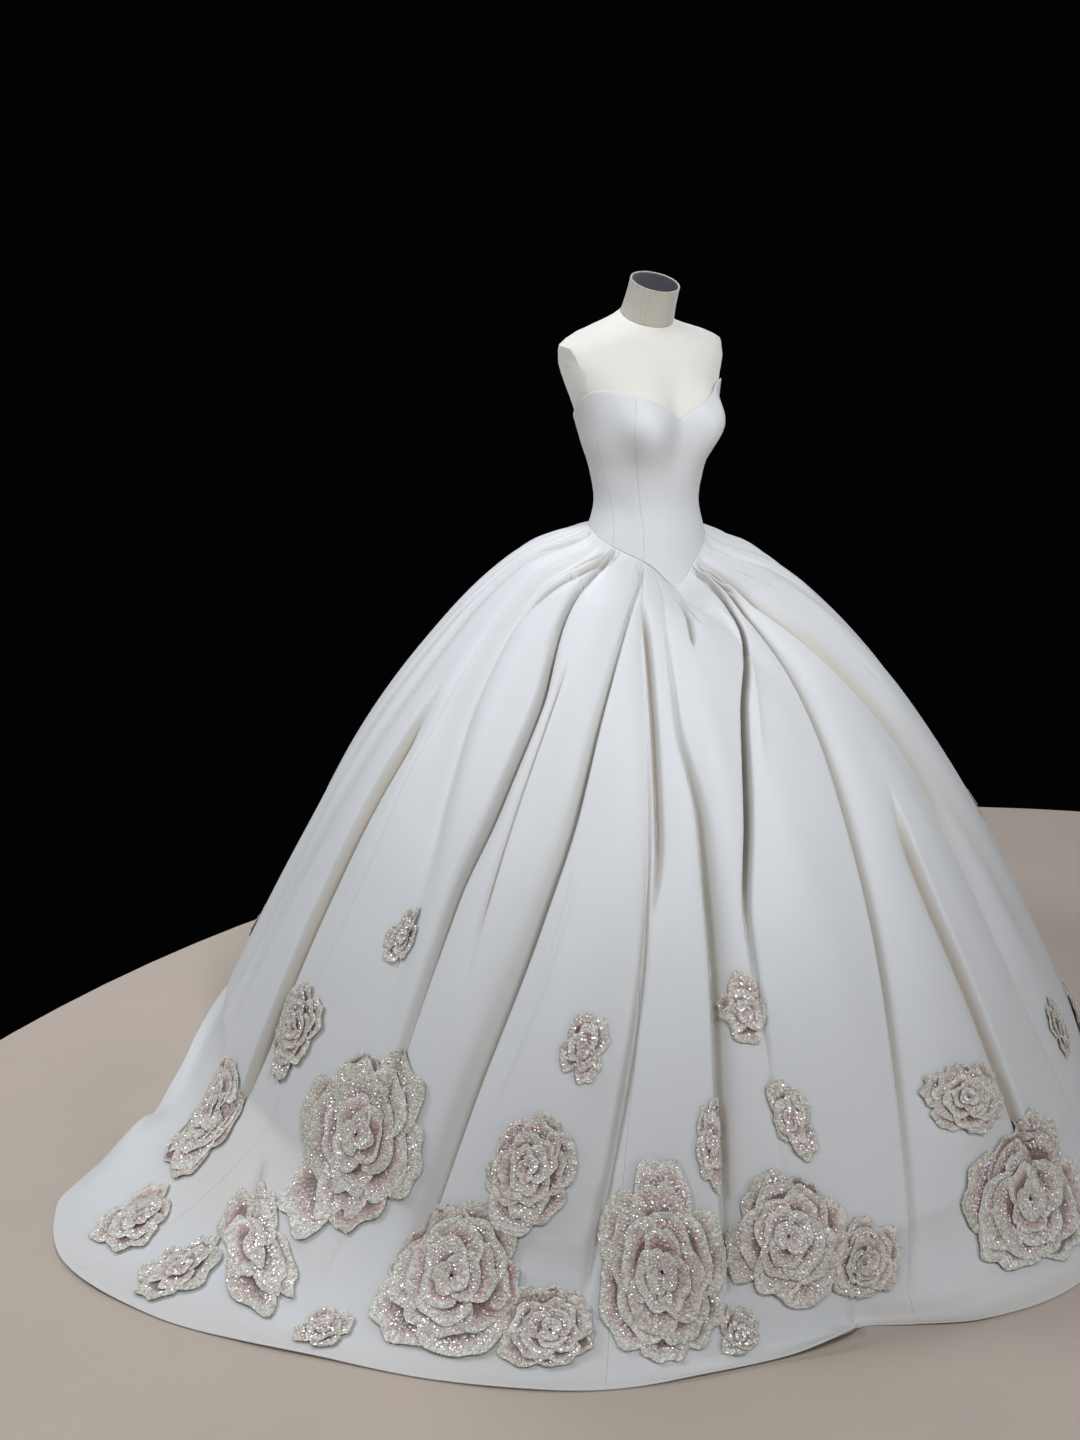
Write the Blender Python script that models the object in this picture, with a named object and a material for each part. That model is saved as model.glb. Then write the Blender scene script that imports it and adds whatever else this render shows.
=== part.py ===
"""Strapless ball gown on a limbless dress form, each sewn or fitted piece as its own solid.

Axes: +Z up, the gown faces -Y and the wearer's left is +X. The origin is the centre of the
underside of the form's foot, on the floor. Lengths are in metres, or millimetres where a name
ends in _MM. Angles are in degrees round the body: 0 at the centre front, growing towards the
wearer's left, so 90 is the left side and 180 the centre back.

"along" is a place down the skirt's cloth, from 0 at the waist seam to 1 at the hem edge.
"rise" is a height above the natural waist.
"""
import math
from collections import namedtuple

import bmesh
import bpy
import numpy as np
from mathutils import Vector
from mathutils.geometry import delaunay_2d_cdt

# ------------------------------------------------------------------ driving sizes
WAIST_HEIGHT = 1.25
CLOTH = 0.0024              # satin with its stiff backing
SEAM_GAP = 0.0003           # between two pieces that are sewn together
FLOOR_GAP = 0.0002          # from the floor to the cloth that lies on it
BODICE_CLEARANCE = 0.003    # from the form to the inside of the bodice
SKIRT_STANDOFF = 0.0025     # the skirt's waist edge stands this far outside the bodice

FOOT_RADIUS = 0.20
FOOT_THICKNESS = 0.014
FOOT_EDGE = 0.004
POLE_RADIUS = 0.016

NECK_RISE = 0.3593
NECK_LENGTH = 0.070
NECK_RADIUS_BASE = 0.0535
NECK_RADIUS_TOP = 0.049
NECK_SET_BACK = 0.010
NECK_LEAN = 20.0            # degrees forward
NECK_RIM = 0.0030
CAP_THICKNESS = 0.004
CAP_BELOW_RIM = 0.0012

ARM_PLANE_HALF_WIDTH = 0.168    # where the shoulder is cut flat, at ARM_PLANE_RISE
ARM_PLANE_RISE = 0.25
ARM_PLANE_TILT = 15.0
ARM_PLATE_THICKNESS = 0.003
ARM_PLATE_INSET = 0.97


def table(columns, rows):
    """A small table as a dictionary of columns."""
    return dict(zip(columns.split(), np.array(rows, float).T))


# ------------------------------------------------------------------ the body of the form
# half_width to each side, front and back from the axis, squareness of the section (2 is an
# ellipse), set_back of the section, tilt of the section in degrees (front down)
TORSO = table("rise half_width front back squareness set_back tilt", [
    (-0.240, .168, .108, .130, 2.10, .000, 0),
    (-0.165, .151, .103, .121, 2.10, .000, 0),
    (-0.080, .127, .095, .098, 2.10, .000, 0),
    (0.000, .107, .086, .083, 2.10, .000, 0),
    (0.065, .118, .093, .087, 2.10, .002, 0),
    (0.120, .136, .098, .096, 2.15, .004, 0),
    (0.170, .149, .101, .104, 2.20, .008, 0),
    (0.210, .162, .100, .106, 2.20, .014, 0),
    (0.245, .177, .096, .100, 2.15, .020, 0),
    (0.280, .188, .088, .092, 2.15, .024, 0),
    (0.303, .188, .078, .085, 2.20, .026, 3),
    (0.320, .163, .071, .077, 2.25, .026, 7),
    (0.334, .112, .064, .070, 2.20, .022, 12),
    (0.346, .075, .056, .060, 2.10, .016, 16),
    (0.358, .056, .052, .054, 2.00, .010, 20),
])
TORSO_RISES = (-.24, -.165, -.08, -.02, .03, .06, .085, .11, .135, .16, .185, .21, .235, .26,
               .28, .295, .305, .315, .325, .334, .345, .358)
TORSO_SIDES = 32
BUST_ANGLE = 32.0
BUST_RISE = 0.160
BUST_REACH = 0.045
BUST_ANGLE_SPREAD = 21.0
BUST_RISE_SPREAD = 0.068
UNDER_BODICE = 0.004        # the form's padding gives by this much under the bodice
UNDER_BODICE_FADE = 0.02

# ------------------------------------------------------------------ the bodice
NECKLINE = table("angle rise", [
    (0, .168), (10, .182), (20, .197), (32, .211), (46, .222), (60, .230), (70, .232),
    (80, .220), (90, .200), (115, .165), (145, .146), (180, .140)])
BASQUE = table("angle rise", [
    (0, -.166), (5, -.160), (14, -.146), (25, -.125), (40, -.104), (60, -.085), (82, -.066),
    (105, -.054), (180, -.050)])
# angle of each vertical seam at each rise
BODICE_SEAMS = table("rise princess side_front side_back back", [
    (-0.11, 38, 66, 116, 148),
    (-0.04, 40, 70, 115, 148),
    (0.00, 44, 76, 114, 147),
    (0.07, 46, 80, 113, 146),
    (0.15, 44, 78, 113, 146),
    (0.23, 42, 76, 113, 146),
])
BODICE_ROWS = (0, .13, .27, .40, .50, .58, .66, .74, .82, .91, 1)   # shares of the height
BODICE_COLUMN_DEGREES = 8.5

# ------------------------------------------------------------------ the skirt without folds
SKIRT = table("height front side back", [
    (1.178, .122, .128, .118),
    (1.166, .140, .143, .138),
    (1.154, .166, .169, .163),
    (1.140, .205, .204, .198),
    (1.116, .265, .260, .252),
    (1.076, .325, .318, .306),
    (1.026, .385, .375, .362),
    (0.950, .460, .448, .432),
    (0.850, .545, .530, .512),
    (0.700, .655, .630, .612),
    (0.500, .785, .742, .722),
    (0.300, .900, .850, .825),
    (0.150, .980, .930, .895),
])
HEM = table("angle radius", [
    (-180, 1.03), (-150, 1.00), (-130, 1.00), (-119, 1.01), (-108, 1.06), (-102, 1.12),
    (-98, 1.20), (-94, 1.31), (-87, 1.35), (-77, 1.30), (-69, 1.24), (-61, 1.19), (-52, 1.16),
    (-41, 1.13), (-25, 1.07), (-15, 1.05), (-13.7, 1.025), (-9, 1.055), (-3, 1.10), (9, 1.14),
    (30, 1.12), (45, 1.07), (60, 1.02), (90, 1.00), (130, 1.00), (180, 1.03)])
SWEEP_HEIGHT = 0.150        # below this the cloth swings out to the hem
SWEEP_LENGTH = 0.260
WAIST_BLEND = 0.06          # along, over which the skirt leaves the shape of the waist
BASQUE_BLEND = 0.33         # along, over which the dip of the basque dies out
LEVELS = (0, .02, .05, .095, .15, .22, .31, .41, .51, .61, .70, .78, .85, .905, .95, 1)

# ------------------------------------------------------------------ the skirt's folds
# A fold is a trough between two rounds of cloth. Its angle and depth are given at FOLD_ALONG,
# and its half widths in mm, towards the wearer's right and left, at the waist and at the hem.
# A fold of no depth only carries columns of the mesh between two far ones.
FOLD_ALONG = (.02, .10, .25, .38, .50, .70, .92)
Fold = namedtuple("Fold", "name angles depths_mm right_mm left_mm")
SEEN_FOLDS = [
    Fold("right hip", (-100, -109, -107, -107.5, -108, -110, -108), (4, 10, 14, 16, 16, 14, 6),
         (9, 60), (9, 60)),
    Fold("right sweep", (-90, -97, -95, -96.5, -98, -100, -99), (0, 0, 0, 0, 0, 0, 0),
         (9, 60), (9, 100)),
    Fold("right side", (-79, -84, -81, -77, -74.5, -74, -74), (4, 10, 18, 17, 14, 8, 3),
         (8, 50), (8, 40)),
    Fold("right pleat", (-64, -68, -64, -66, -67.5, -67, -66), (6, 15, 26, 26, 16, 8, 3),
         (6, 20), (9, 50)),
    Fold("front right", (-48, -46, -47, -48.7, -51.5, -56, -60), (6, 12, 15, 20, 28, 34, 12),
         (9, 90), (6, 34)),
    Fold("beside the seam", (-38, -37.5, -37, -37, -37.3, -40, -44), (4, 7, 8, 10, 15, 24, 10),
         (7, 66), (5, 26)),
    Fold("front soft", (-29, -31, -31, -31, -31, -31, -31), (4, 6, 15, 12, 6, 2, 1),
         (6, 20), (8, 30)),
    Fold("front long", (-20, -25, -27.5, -26, -25.5, -26, -27), (4, 6, 9, 18, 24, 25, 9),
         (7, 20), (9, 60)),
    Fold("front hollow", (-8, -16, -21, -22.3, -23, -23, -23.5), (5, 14, 5, 1, 0, 0, 0),
         (6, 12), (8, 14)),
    Fold("front point", (0, -7, -17, -20, -21.5, -21.5, -21.5), (0, 0, 0, 0, 0, 0, 0),
         (8, 12), (8, 12)),
    Fold("deep pleat", (14, 3, -12, -17, -20, -20, -19), (7, 22, 58, 52, 8, 2, 0),
         (7, 15), (7, 16)),
    Fold("left pleat", (25, 12.5, 6, 4, 2, -1, -4), (7, 15, 30, 30, 22, 14, 5),
         (6, 18), (9, 60)),
    Fold("left soft", (34, 18.5, 15, 13.7, 13, 12, 13), (5, 4, 6, 11, 16, 16, 6),
         (8, 60), (6, 26)),
    Fold("left broad", (44, 26, 27, 28, 27, 27, 28), (5, 12, 21, 19, 12, 5, 1),
         (8, 34), (8, 44)),
]
HIDDEN_FOLDS = 15           # the pleats that go on round the left side and the back
HIDDEN_FIRST_ANGLE = 57.0
HIDDEN_LAST_ANGLE = 246.0
DEEP_PLEAT = "deep pleat"   # its walls are steep, the others' slope softly
FOLD_ONSET = 0.03           # along, over which the folds grow from the waist seam
FOLD_FADE_HEIGHT = 0.13     # the folds die out from here down to the floor
COLUMN_STEPS = (0.6, 1.35)  # columns stand at these multiples of a fold's half width
HIDDEN_COLUMN_STEP = 1.0
FEW_COLUMNS_AFTER = ("right hip", "right side", "front hollow", "front point", "left broad")

# seams between gores: the interval after the named fold, and the column in it
SKIRT_SEAMS = [
    ("skirt_front_right", "right sweep", 2),
    ("skirt_front_centre", "beside the seam", 3),
    ("skirt_front_left", "deep pleat", 4),
    ("skirt_side_left", "left broad", 2),
    ("skirt_side_back_left", "hidden 2", 2),
    ("skirt_back_left", "hidden 5", 2),
    ("skirt_back_right", "hidden 9", 2),
    ("skirt_side_back_right", "hidden 12", 2),
]

# low swells of the cloth that spreads on the floor
FLOOR_SWELLS = table("angle along lift_mm angle_spread along_spread", [
    (-97, .955, 34, 6, .030),
    (-76, .930, 22, 4.5, .040),
    (-58, .940, 8, 5, .030),
    (4, .950, 14, 7, .030),
])

# ------------------------------------------------------------------ the rose appliques
# centre, size, turn in degrees, and number of lobes of the outline
ROSES = table("angle along width_mm height_mm turn lobes", [
    (-104, .868, 170, 200, 5, 6), (-90, .725, 100, 140, 20, 4), (-70, .792, 270, 275, 0, 7),
    (-88, .956, 105, 100, 0, 5), (-79, .962, 130, 100, 10, 5), (-74, .900, 135, 225, -12, 6),
    (-64, .966, 95, 84, 0, 4), (-55, .884, 255, 240, 8, 7), (-44, .915, 150, 150, 0, 5),
    (-48, .758, 155, 180, 10, 6), (-33.5, .842, 210, 300, -6, 7), (-26, .925, 66, 115, 0, 4),
    (-20, .820, 190, 225, 12, 6), (-11.5, .868, 115, 140, 0, 5), (5, .733, 200, 125, 20, 5),
    (12, .868, 310, 250, 0, 7), (-74, .560, 70, 125, 15, 4), (-43, .625, 88, 140, 12, 4),
    (-22.5, .583, 88, 120, -8, 4), (-28, .718, 60, 130, 0, 4), (-17.5, .700, 78, 130, -14, 4),
    (31, .760, 85, 130, 8, 4), (46, .866, 240, 240, 0, 7), (52, .620, 88, 135, -10, 4),
    (64, .745, 155, 175, 8, 6), (82, .880, 260, 230, -8, 7), (98, .700, 85, 130, 14, 4),
    (106, .830, 165, 195, 0, 6), (126, .885, 245, 220, 10, 7), (138, .720, 85, 130, -12, 4),
    (156, .845, 180, 200, 6, 6), (176, .890, 245, 215, 0, 7), (188, .715, 85, 130, 10, 4),
    (203, .850, 170, 200, -8, 6), (222, .890, 240, 215, 6, 7), (234, .740, 88, 135, -8, 4),
])
SMALL_ROSE_MM = 120         # narrower ones have fewer points
ROSE_LOBE_DEPTH = 0.09
# height of the sequinned petals over the cloth, from the middle to the edge
ROSE_RINGS = table("radius raised_mm", [(0, 6.5), (0.55, 9.0), (1.0, 0.0)])
ROSE_EDGE_MM = 8            # the edge climbs ROSE_EDGE_RAISED_MM over this width
ROSE_EDGE_RAISED_MM = 6.0
ROSE_CLEAR_MM = 12          # no other point of the wall is nearer to a rose's edge

# ------------------------------------------------------------------ colours
SATIN = ("satin", (0.76, 0.79, 0.84), 0.42)
LINEN = ("form_linen", (0.80, 0.77, 0.68), 0.75)
NECK_CLOTH = ("neck_cloth", (0.68, 0.62, 0.50), 0.75)
CAP_METAL = ("neck_cap", (0.10, 0.09, 0.095), 0.55)
STAND_METAL = ("stand", (0.30, 0.30, 0.31), 0.45)


# ------------------------------------------------------------------ small mathematics
def smooth_curve(knots, values, x):
    """Monotone cubic through the knots, held level beyond the ends."""
    x = np.clip(x, knots[0], knots[-1])
    step = np.diff(knots)
    slope = np.diff(values) / step
    tangent = np.concatenate([slope[:1], np.zeros(len(knots) - 2), slope[-1:]])
    rising = slope[:-1] * slope[1:] > 0
    total = np.where(rising, slope[:-1] + slope[1:], 1.0)
    tangent[1:-1] = np.where(rising, 2 * slope[:-1] * slope[1:] / total, 0.0)
    k = np.clip(np.searchsorted(knots, x) - 1, 0, len(knots) - 2)
    t = (x - knots[k]) / step[k]
    return ((1 + 2 * t) * (1 - t) ** 2 * values[k] + t * (1 - t) ** 2 * step[k] * tangent[k]
            + t * t * (3 - 2 * t) * values[k + 1] + t * t * (t - 1) * step[k] * tangent[k + 1])


def read(columns, key, name, x):
    """Column name of a table, at the places x of its column key."""
    return smooth_curve(columns[key], columns[name], x)


def ease(x):
    """0 below 0, 1 above 1, with level ends."""
    x = np.clip(x, 0.0, 1.0)
    return x * x * (3 - 2 * x)


def turn_back(angle):
    """The same angle between -180 and 180."""
    return (np.asarray(angle, float) + 180) % 360 - 180


def outward_normals(surface, angle, v, step_angle, step_up):
    """Unit normals of surface(angle, v), where v + step_up is a little higher than v."""
    across = surface(angle + step_angle, v) - surface(angle - step_angle, v)
    up = surface(angle, v + step_up) - surface(angle, v - step_up)
    normal = np.cross(across, up)
    return normal / np.linalg.norm(normal, axis=-1, keepdims=True)


# ------------------------------------------------------------------ surfaces
def torso_surface(angle, rise):
    """Section by section: a rounded ellipse, with the bust as two soft mounds."""
    angle, rise = np.broadcast_arrays(np.asarray(angle, float), np.asarray(rise, float))
    turn = np.radians(angle)
    depth = np.where(np.cos(turn) > 0, read(TORSO, "rise", "front", rise),
                     read(TORSO, "rise", "back", rise))
    power = read(TORSO, "rise", "squareness", rise)
    side = np.abs(np.sin(turn)) / read(TORSO, "rise", "half_width", rise)
    ahead = np.abs(np.cos(turn)) / depth
    radius = (side ** power + ahead ** power) ** (-1 / power)
    for centre in (-BUST_ANGLE, BUST_ANGLE):
        off_centre = turn_back(angle - centre) / BUST_ANGLE_SPREAD
        off_height = (rise - BUST_RISE) / BUST_RISE_SPREAD
        radius = radius + BUST_REACH * np.exp(-off_centre ** 2 - off_height ** 2)
    tilt = np.radians(read(TORSO, "rise", "tilt", rise))
    y = -radius * np.cos(turn)
    return np.stack([radius * np.sin(turn),
                     y * np.cos(tilt) + read(TORSO, "rise", "set_back", rise),
                     WAIST_HEIGHT + rise + y * np.sin(tilt)], -1)


def above_torso(angle, rise, distance):
    """Points at a distance outside the torso."""
    normal = outward_normals(torso_surface, angle, rise, 0.5, 0.002)
    return torso_surface(angle, rise) + normal * distance


def form_surface(angle, rise):
    """The form's own surface, pressed in a little where the bodice covers it."""
    pressed = UNDER_BODICE * ease((neckline_rise(angle) - rise) / UNDER_BODICE_FADE - 0.25)
    return above_torso(angle, rise, -pressed[..., None])


def basque_rise(angle):
    return read(BASQUE, "angle", "rise", np.abs(turn_back(angle)))


def neckline_rise(angle):
    return read(NECKLINE, "angle", "rise", np.abs(turn_back(angle)))


STEEP = np.hypot(np.diff(SKIRT["height"]), np.diff(SKIRT["side"]))
SKIRT_LENGTH = STEEP.sum() + SWEEP_LENGTH
SKIRT["along"] = np.concatenate([[0], np.cumsum(STEEP)]) / SKIRT_LENGTH
SWEEP_START = SKIRT["along"][-1]


def plain_skirt(angle, along):
    """The skirt with no folds: a bell, its hem swung out on the floor, its waist on the basque."""
    angle, along = np.broadcast_arrays(np.asarray(angle, float), np.asarray(along, float))
    turn = np.radians(angle)
    side = read(SKIRT, "along", "side", along)
    end = np.where(np.cos(turn) > 0, read(SKIRT, "along", "front", along),
                   read(SKIRT, "along", "back", along))
    radius = side + (end - side) * np.abs(np.cos(turn)) ** 1.5
    sweep = np.clip((along - SWEEP_START) / (1 - SWEEP_START), 0, 1)
    radius = radius + (read(HEM, "angle", "radius", turn_back(angle)) - radius) * sweep
    height = np.where(sweep > 0, SWEEP_HEIGHT * (1 - sweep) ** 2, read(SKIRT, "along", "height", along))
    waist_edge = above_torso(angle, basque_rise(angle), BODICE_CLEARANCE + CLOTH + SKIRT_STANDOFF)
    at_waist = 1 - ease(along / WAIST_BLEND)
    end_start = np.where(np.cos(turn) > 0, SKIRT["front"][0], SKIRT["back"][0])
    start = SKIRT["side"][0] + (end_start - SKIRT["side"][0]) * np.abs(np.cos(turn)) ** 1.5
    radius = radius + (np.hypot(waist_edge[..., 0], waist_edge[..., 1]) - start) * at_waist
    dip = SKIRT["height"][0] - (WAIST_HEIGHT + basque_rise(angle))
    height = height - dip * (1 - ease(along / BASQUE_BLEND))
    return np.stack([radius * np.sin(turn), -radius * np.cos(turn), height], -1)


def hidden_folds():
    """Pleats like the others round the left side and the back, a little uneven."""
    folds = []
    for k, angle in enumerate(np.linspace(HIDDEN_FIRST_ANGLE, HIDDEN_LAST_ANGLE, HIDDEN_FOLDS)):
        lean = 2.5 * math.sin(2.1 * k)
        deep = 1 + 0.35 * math.sin(1.7 * k + 0.8)
        angles = tuple(angle + lean * share for share in (0, 1, 1.2, 1.1, .9, .6, .4))
        depths = tuple(depth * deep for depth in (4, 10, 17, 18, 17, 14, 6))
        folds.append(Fold("hidden %d" % k, angles, depths, (8, 58), (8, 46)))
    return folds


FOLDS = SEEN_FOLDS + hidden_folds()


def fold_angle(fold, along):
    return smooth_curve(np.array(FOLD_ALONG), np.array(fold.angles, float), along)


def fold_widths(fold, along):
    """Half widths in metres towards the right and towards the left."""
    return [np.interp(along, (FOLD_ALONG[0], FOLD_ALONG[-1]), ends) / 1000
            for ends in (fold.right_mm, fold.left_mm)]


def fold_depth(angle, along, radius):
    """How far the cloth lies below its plain form: the sum of all troughs."""
    depth = np.zeros(np.shape(angle))
    for fold in FOLDS:
        across = np.radians(turn_back(angle - fold_angle(fold, along))) * radius
        right, left = fold_widths(fold, along)
        part = np.abs(across) / np.where(across < 0, right, left)
        power = 4 if fold.name == DEEP_PLEAT else 2
        deep = smooth_curve(np.array(FOLD_ALONG), np.array(fold.depths_mm, float), along)
        depth = depth + deep / 1000 * np.exp(-part ** power)
    return depth * ease(along / FOLD_ONSET)


def skirt_surface(angle, along):
    """The outer face of the skirt's cloth, with its folds, without the roses."""
    angle, along = np.broadcast_arrays(np.asarray(angle, float), np.asarray(along, float))
    plain = plain_skirt(angle, along)
    normal = outward_normals(plain_skirt, angle, along, 0.5, -0.004)
    radius = np.hypot(plain[..., 0], plain[..., 1])
    fade = ease(plain[..., 2] / FOLD_FADE_HEIGHT)
    point = plain - normal * (fold_depth(angle, along, radius) * fade)[..., None]
    swell = np.zeros(angle.shape)
    for row in zip(*FLOOR_SWELLS.values()):
        centre, at, lift_mm, wide, long = row
        swell = swell + lift_mm / 1000 * np.exp(-(turn_back(angle - centre) / wide) ** 2
                                                - ((along - at) / long) ** 2)
    on_floor = 1 - ease(plain[..., 2] / FOLD_FADE_HEIGHT)
    point[..., 2] = np.maximum(point[..., 2], 0) + (CLOTH + 2 * FLOOR_GAP) * on_floor + swell
    return point


# ------------------------------------------------------------------ roses on the skirt
ROSES["from_axis"] = np.hypot(*plain_skirt(ROSES["angle"], ROSES["along"])[:, :2].T)


def rose_place(rose, angle, along):
    """Radius and direction of a point in a rose's own frame, where its outline is near 1."""
    centre, at, width_mm, height_mm, turn, _, radius = rose
    x = np.radians(turn_back(angle - centre)) * radius
    y = (np.asarray(along) - at) * SKIRT_LENGTH
    spin = math.radians(turn)
    across = (x * math.cos(spin) + y * math.sin(spin)) / (width_mm / 2000)
    down = (y * math.cos(spin) - x * math.sin(spin)) / (height_mm / 2000)
    return np.hypot(across, down), np.arctan2(down, across)


def rose_outline(rose, direction):
    return 1 + ROSE_LOBE_DEPTH * (np.cos(rose[5] * direction + rose[0]) - 1)


def rose_size(rose):
    """Mean radius in metres."""
    return (rose[2] + rose[3]) / 4000


def rose_raise(angle, along):
    """Height of the roses over the cloth."""
    raised = np.zeros(np.shape(angle))
    for rose in zip(*ROSES.values()):
        away, direction = rose_place(rose, angle, along)
        away = away / rose_outline(rose, direction)
        edge = 1 - ROSE_EDGE_MM / 1000 / rose_size(rose)
        middle, top, _ = ROSE_RINGS["radius"]
        heights = [*ROSE_RINGS["raised_mm"][:2], ROSE_EDGE_RAISED_MM, 0.0]
        raised = np.maximum(raised, np.interp(away, (middle, top, edge, 1.0), heights) / 1000)
    return raised


def rose_rings(rose):
    """Closed rings of (angle, along) at the rose's edge, just inside it, halfway and its middle."""
    centre, at, width_mm, height_mm, turn, _, radius = rose
    small = width_mm < SMALL_ROSE_MM
    counts = (8, 8, 1) if small else (16, 16, 8, 1)
    edge = 1 - ROSE_EDGE_MM / 1000 / rose_size(rose)
    shares = (1, edge, 0) if small else (1, edge, ROSE_RINGS["radius"][1], 0)
    spin = math.radians(turn)
    rings = []
    for count, share in zip(counts, shares):
        direction = np.arange(count) * 2 * math.pi / count
        reach = share * rose_outline(rose, direction)
        across = reach * np.cos(direction) * width_mm / 2000
        down = reach * np.sin(direction) * height_mm / 2000
        x = across * math.cos(spin) - down * math.sin(spin)
        y = across * math.sin(spin) + down * math.cos(spin)
        rings.append((centre + np.degrees(x / radius), at + y / SKIRT_LENGTH))
    return rings


def near_rose(angle, along, margin_mm):
    """True where a point lies inside a rose's outline or within the margin of it."""
    near = np.zeros(np.shape(angle), bool)
    for rose in zip(*ROSES.values()):
        away, direction = rose_place(rose, angle, along)
        near |= away < rose_outline(rose, direction) + margin_mm / 1000 / rose_size(rose)
    return near


# ------------------------------------------------------------------ solids
def clear_scene():
    for item in list(bpy.data.objects):
        bpy.data.objects.remove(item, do_unlink=True)


def material(finish):
    name, colour, roughness = finish
    found = bpy.data.materials.get(name)
    if found:
        return found
    made = bpy.data.materials.new(name)
    made.use_nodes = True
    shader = made.node_tree.nodes["Principled BSDF"]
    shader.inputs["Base Color"].default_value = (*colour, 1.0)
    shader.inputs["Roughness"].default_value = roughness
    shader.inputs["Metallic"].default_value = 0.8 if finish is STAND_METAL else 0.0
    return made


def add_solid(name, points, faces, finish, smooth=True):
    """A closed mesh object with its faces turned outwards."""
    mesh = bpy.data.meshes.new(name)
    mesh.from_pydata([tuple(map(float, point)) for point in points], [], faces)
    shape = bmesh.new()
    shape.from_mesh(mesh)
    bmesh.ops.recalc_face_normals(shape, faces=shape.faces)
    shape.to_mesh(mesh)
    shape.free()
    if smooth:
        mesh.shade_smooth()
        mesh.set_sharp_from_angle(angle=math.radians(50))
    mesh.materials.append(material(finish))
    made = bpy.data.objects.new(name, mesh)
    bpy.context.scene.collection.objects.link(made)
    return made


def add_wall(name, outer, inner, faces, finish):
    """A sheet of cloth: an outer and an inner skin with the same faces, joined round the edge.

    The edge's diagonals run from the outer skin down to the inner one, so that two edges that
    are sewn together twist alike.
    """
    count = len(outer)
    directed = {(face[k], face[(k + 1) % len(face)]) for face in faces for k in range(len(face))}
    rim = []
    for a, b in sorted(directed):
        if (b, a) in directed:
            continue
        if outer[a][2] > outer[b][2]:
            rim += [(b, a, b + count), (a, a + count, b + count)]
        else:
            rim += [(b, a, a + count), (b, a + count, b + count)]
    back = [tuple(count + k for k in reversed(face)) for face in faces]
    return add_solid(name, np.concatenate([outer, inner]), [*faces, *back, *rim], finish)


def grid_faces(rows, columns):
    return [(j * columns + i, j * columns + i + 1, (j + 1) * columns + i + 1, (j + 1) * columns + i)
            for j in range(rows - 1) for i in range(columns - 1)]


def lathe(rings, closed_ends=True):
    """Points and faces of a body through rings of equal count."""
    count = len(rings[0])
    faces = [(j * count + i, j * count + (i + 1) % count,
              (j + 1) * count + (i + 1) % count, (j + 1) * count + i)
             for j in range(len(rings) - 1) for i in range(count)]
    if closed_ends:
        last = (len(rings) - 1) * count
        faces += [tuple(range(count)), tuple(range(last + count - 1, last - 1, -1))]
    return np.concatenate(rings), faces


def ring(radius, height, count):
    turn = np.arange(count) * 2 * math.pi / count
    return np.stack([radius * np.cos(turn), radius * np.sin(turn), np.full(count, height)], -1)


# ------------------------------------------------------------------ the dress form
def arm_plane(side):
    """A point and the outward normal of the flat cut at the shoulder, side is -1 or 1."""
    tilt = math.radians(ARM_PLANE_TILT)
    point = Vector((side * ARM_PLANE_HALF_WIDTH, 0, WAIST_HEIGHT + ARM_PLANE_RISE))
    return point, Vector((side * math.cos(tilt), 0, -math.sin(tilt)))


def add_form_body():
    """The torso, cut flat at both shoulders. Returns the corners of each cut."""
    angles = np.arange(TORSO_SIDES) * 360 / TORSO_SIDES
    points, faces = lathe([form_surface(angles, rise) for rise in TORSO_RISES])
    body = add_solid("form_body", points, faces, LINEN)
    shape = bmesh.new()
    shape.from_mesh(body.data)
    cuts = []
    for side in (-1, 1):
        point, normal = arm_plane(side)
        cut = bmesh.ops.bisect_plane(shape, geom=shape.verts[:] + shape.edges[:] + shape.faces[:],
                                     plane_co=point, plane_no=normal, clear_outer=True)
        edges = [item for item in cut["geom_cut"] if isinstance(item, bmesh.types.BMEdge)]
        made = bmesh.ops.edgeloop_fill(shape, edges=edges)
        cuts.append([corner.co.copy() for corner in made["faces"][0].verts])
    bmesh.ops.recalc_face_normals(shape, faces=shape.faces)
    shape.to_mesh(body.data)
    shape.free()
    return cuts


def add_arm_plate(name, side, corners):
    """A flat plate on the cut, made from the cut's corners moved out."""
    _, normal = arm_plane(side)
    middle = sum(corners, Vector()) / len(corners)
    flat = [middle + (corner - middle) * ARM_PLATE_INSET for corner in corners]
    rings = [np.array([point + normal * lift for point in flat])
             for lift in (SEAM_GAP, SEAM_GAP + ARM_PLATE_THICKNESS)]
    points, faces = lathe(rings)
    add_solid(name, points, faces, LINEN)


def on_neck(rings):
    """Rings round +Z from 0, placed on the neck's leaning axis."""
    lean = math.radians(NECK_LEAN)
    placed = []
    for points in rings:
        x, y, z = points.T
        placed.append(np.stack([x, y * math.cos(lean) - z * math.sin(lean) + NECK_SET_BACK,
                                WAIST_HEIGHT + NECK_RISE + y * math.sin(lean) + z * math.cos(lean)], -1))
    return placed


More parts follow.
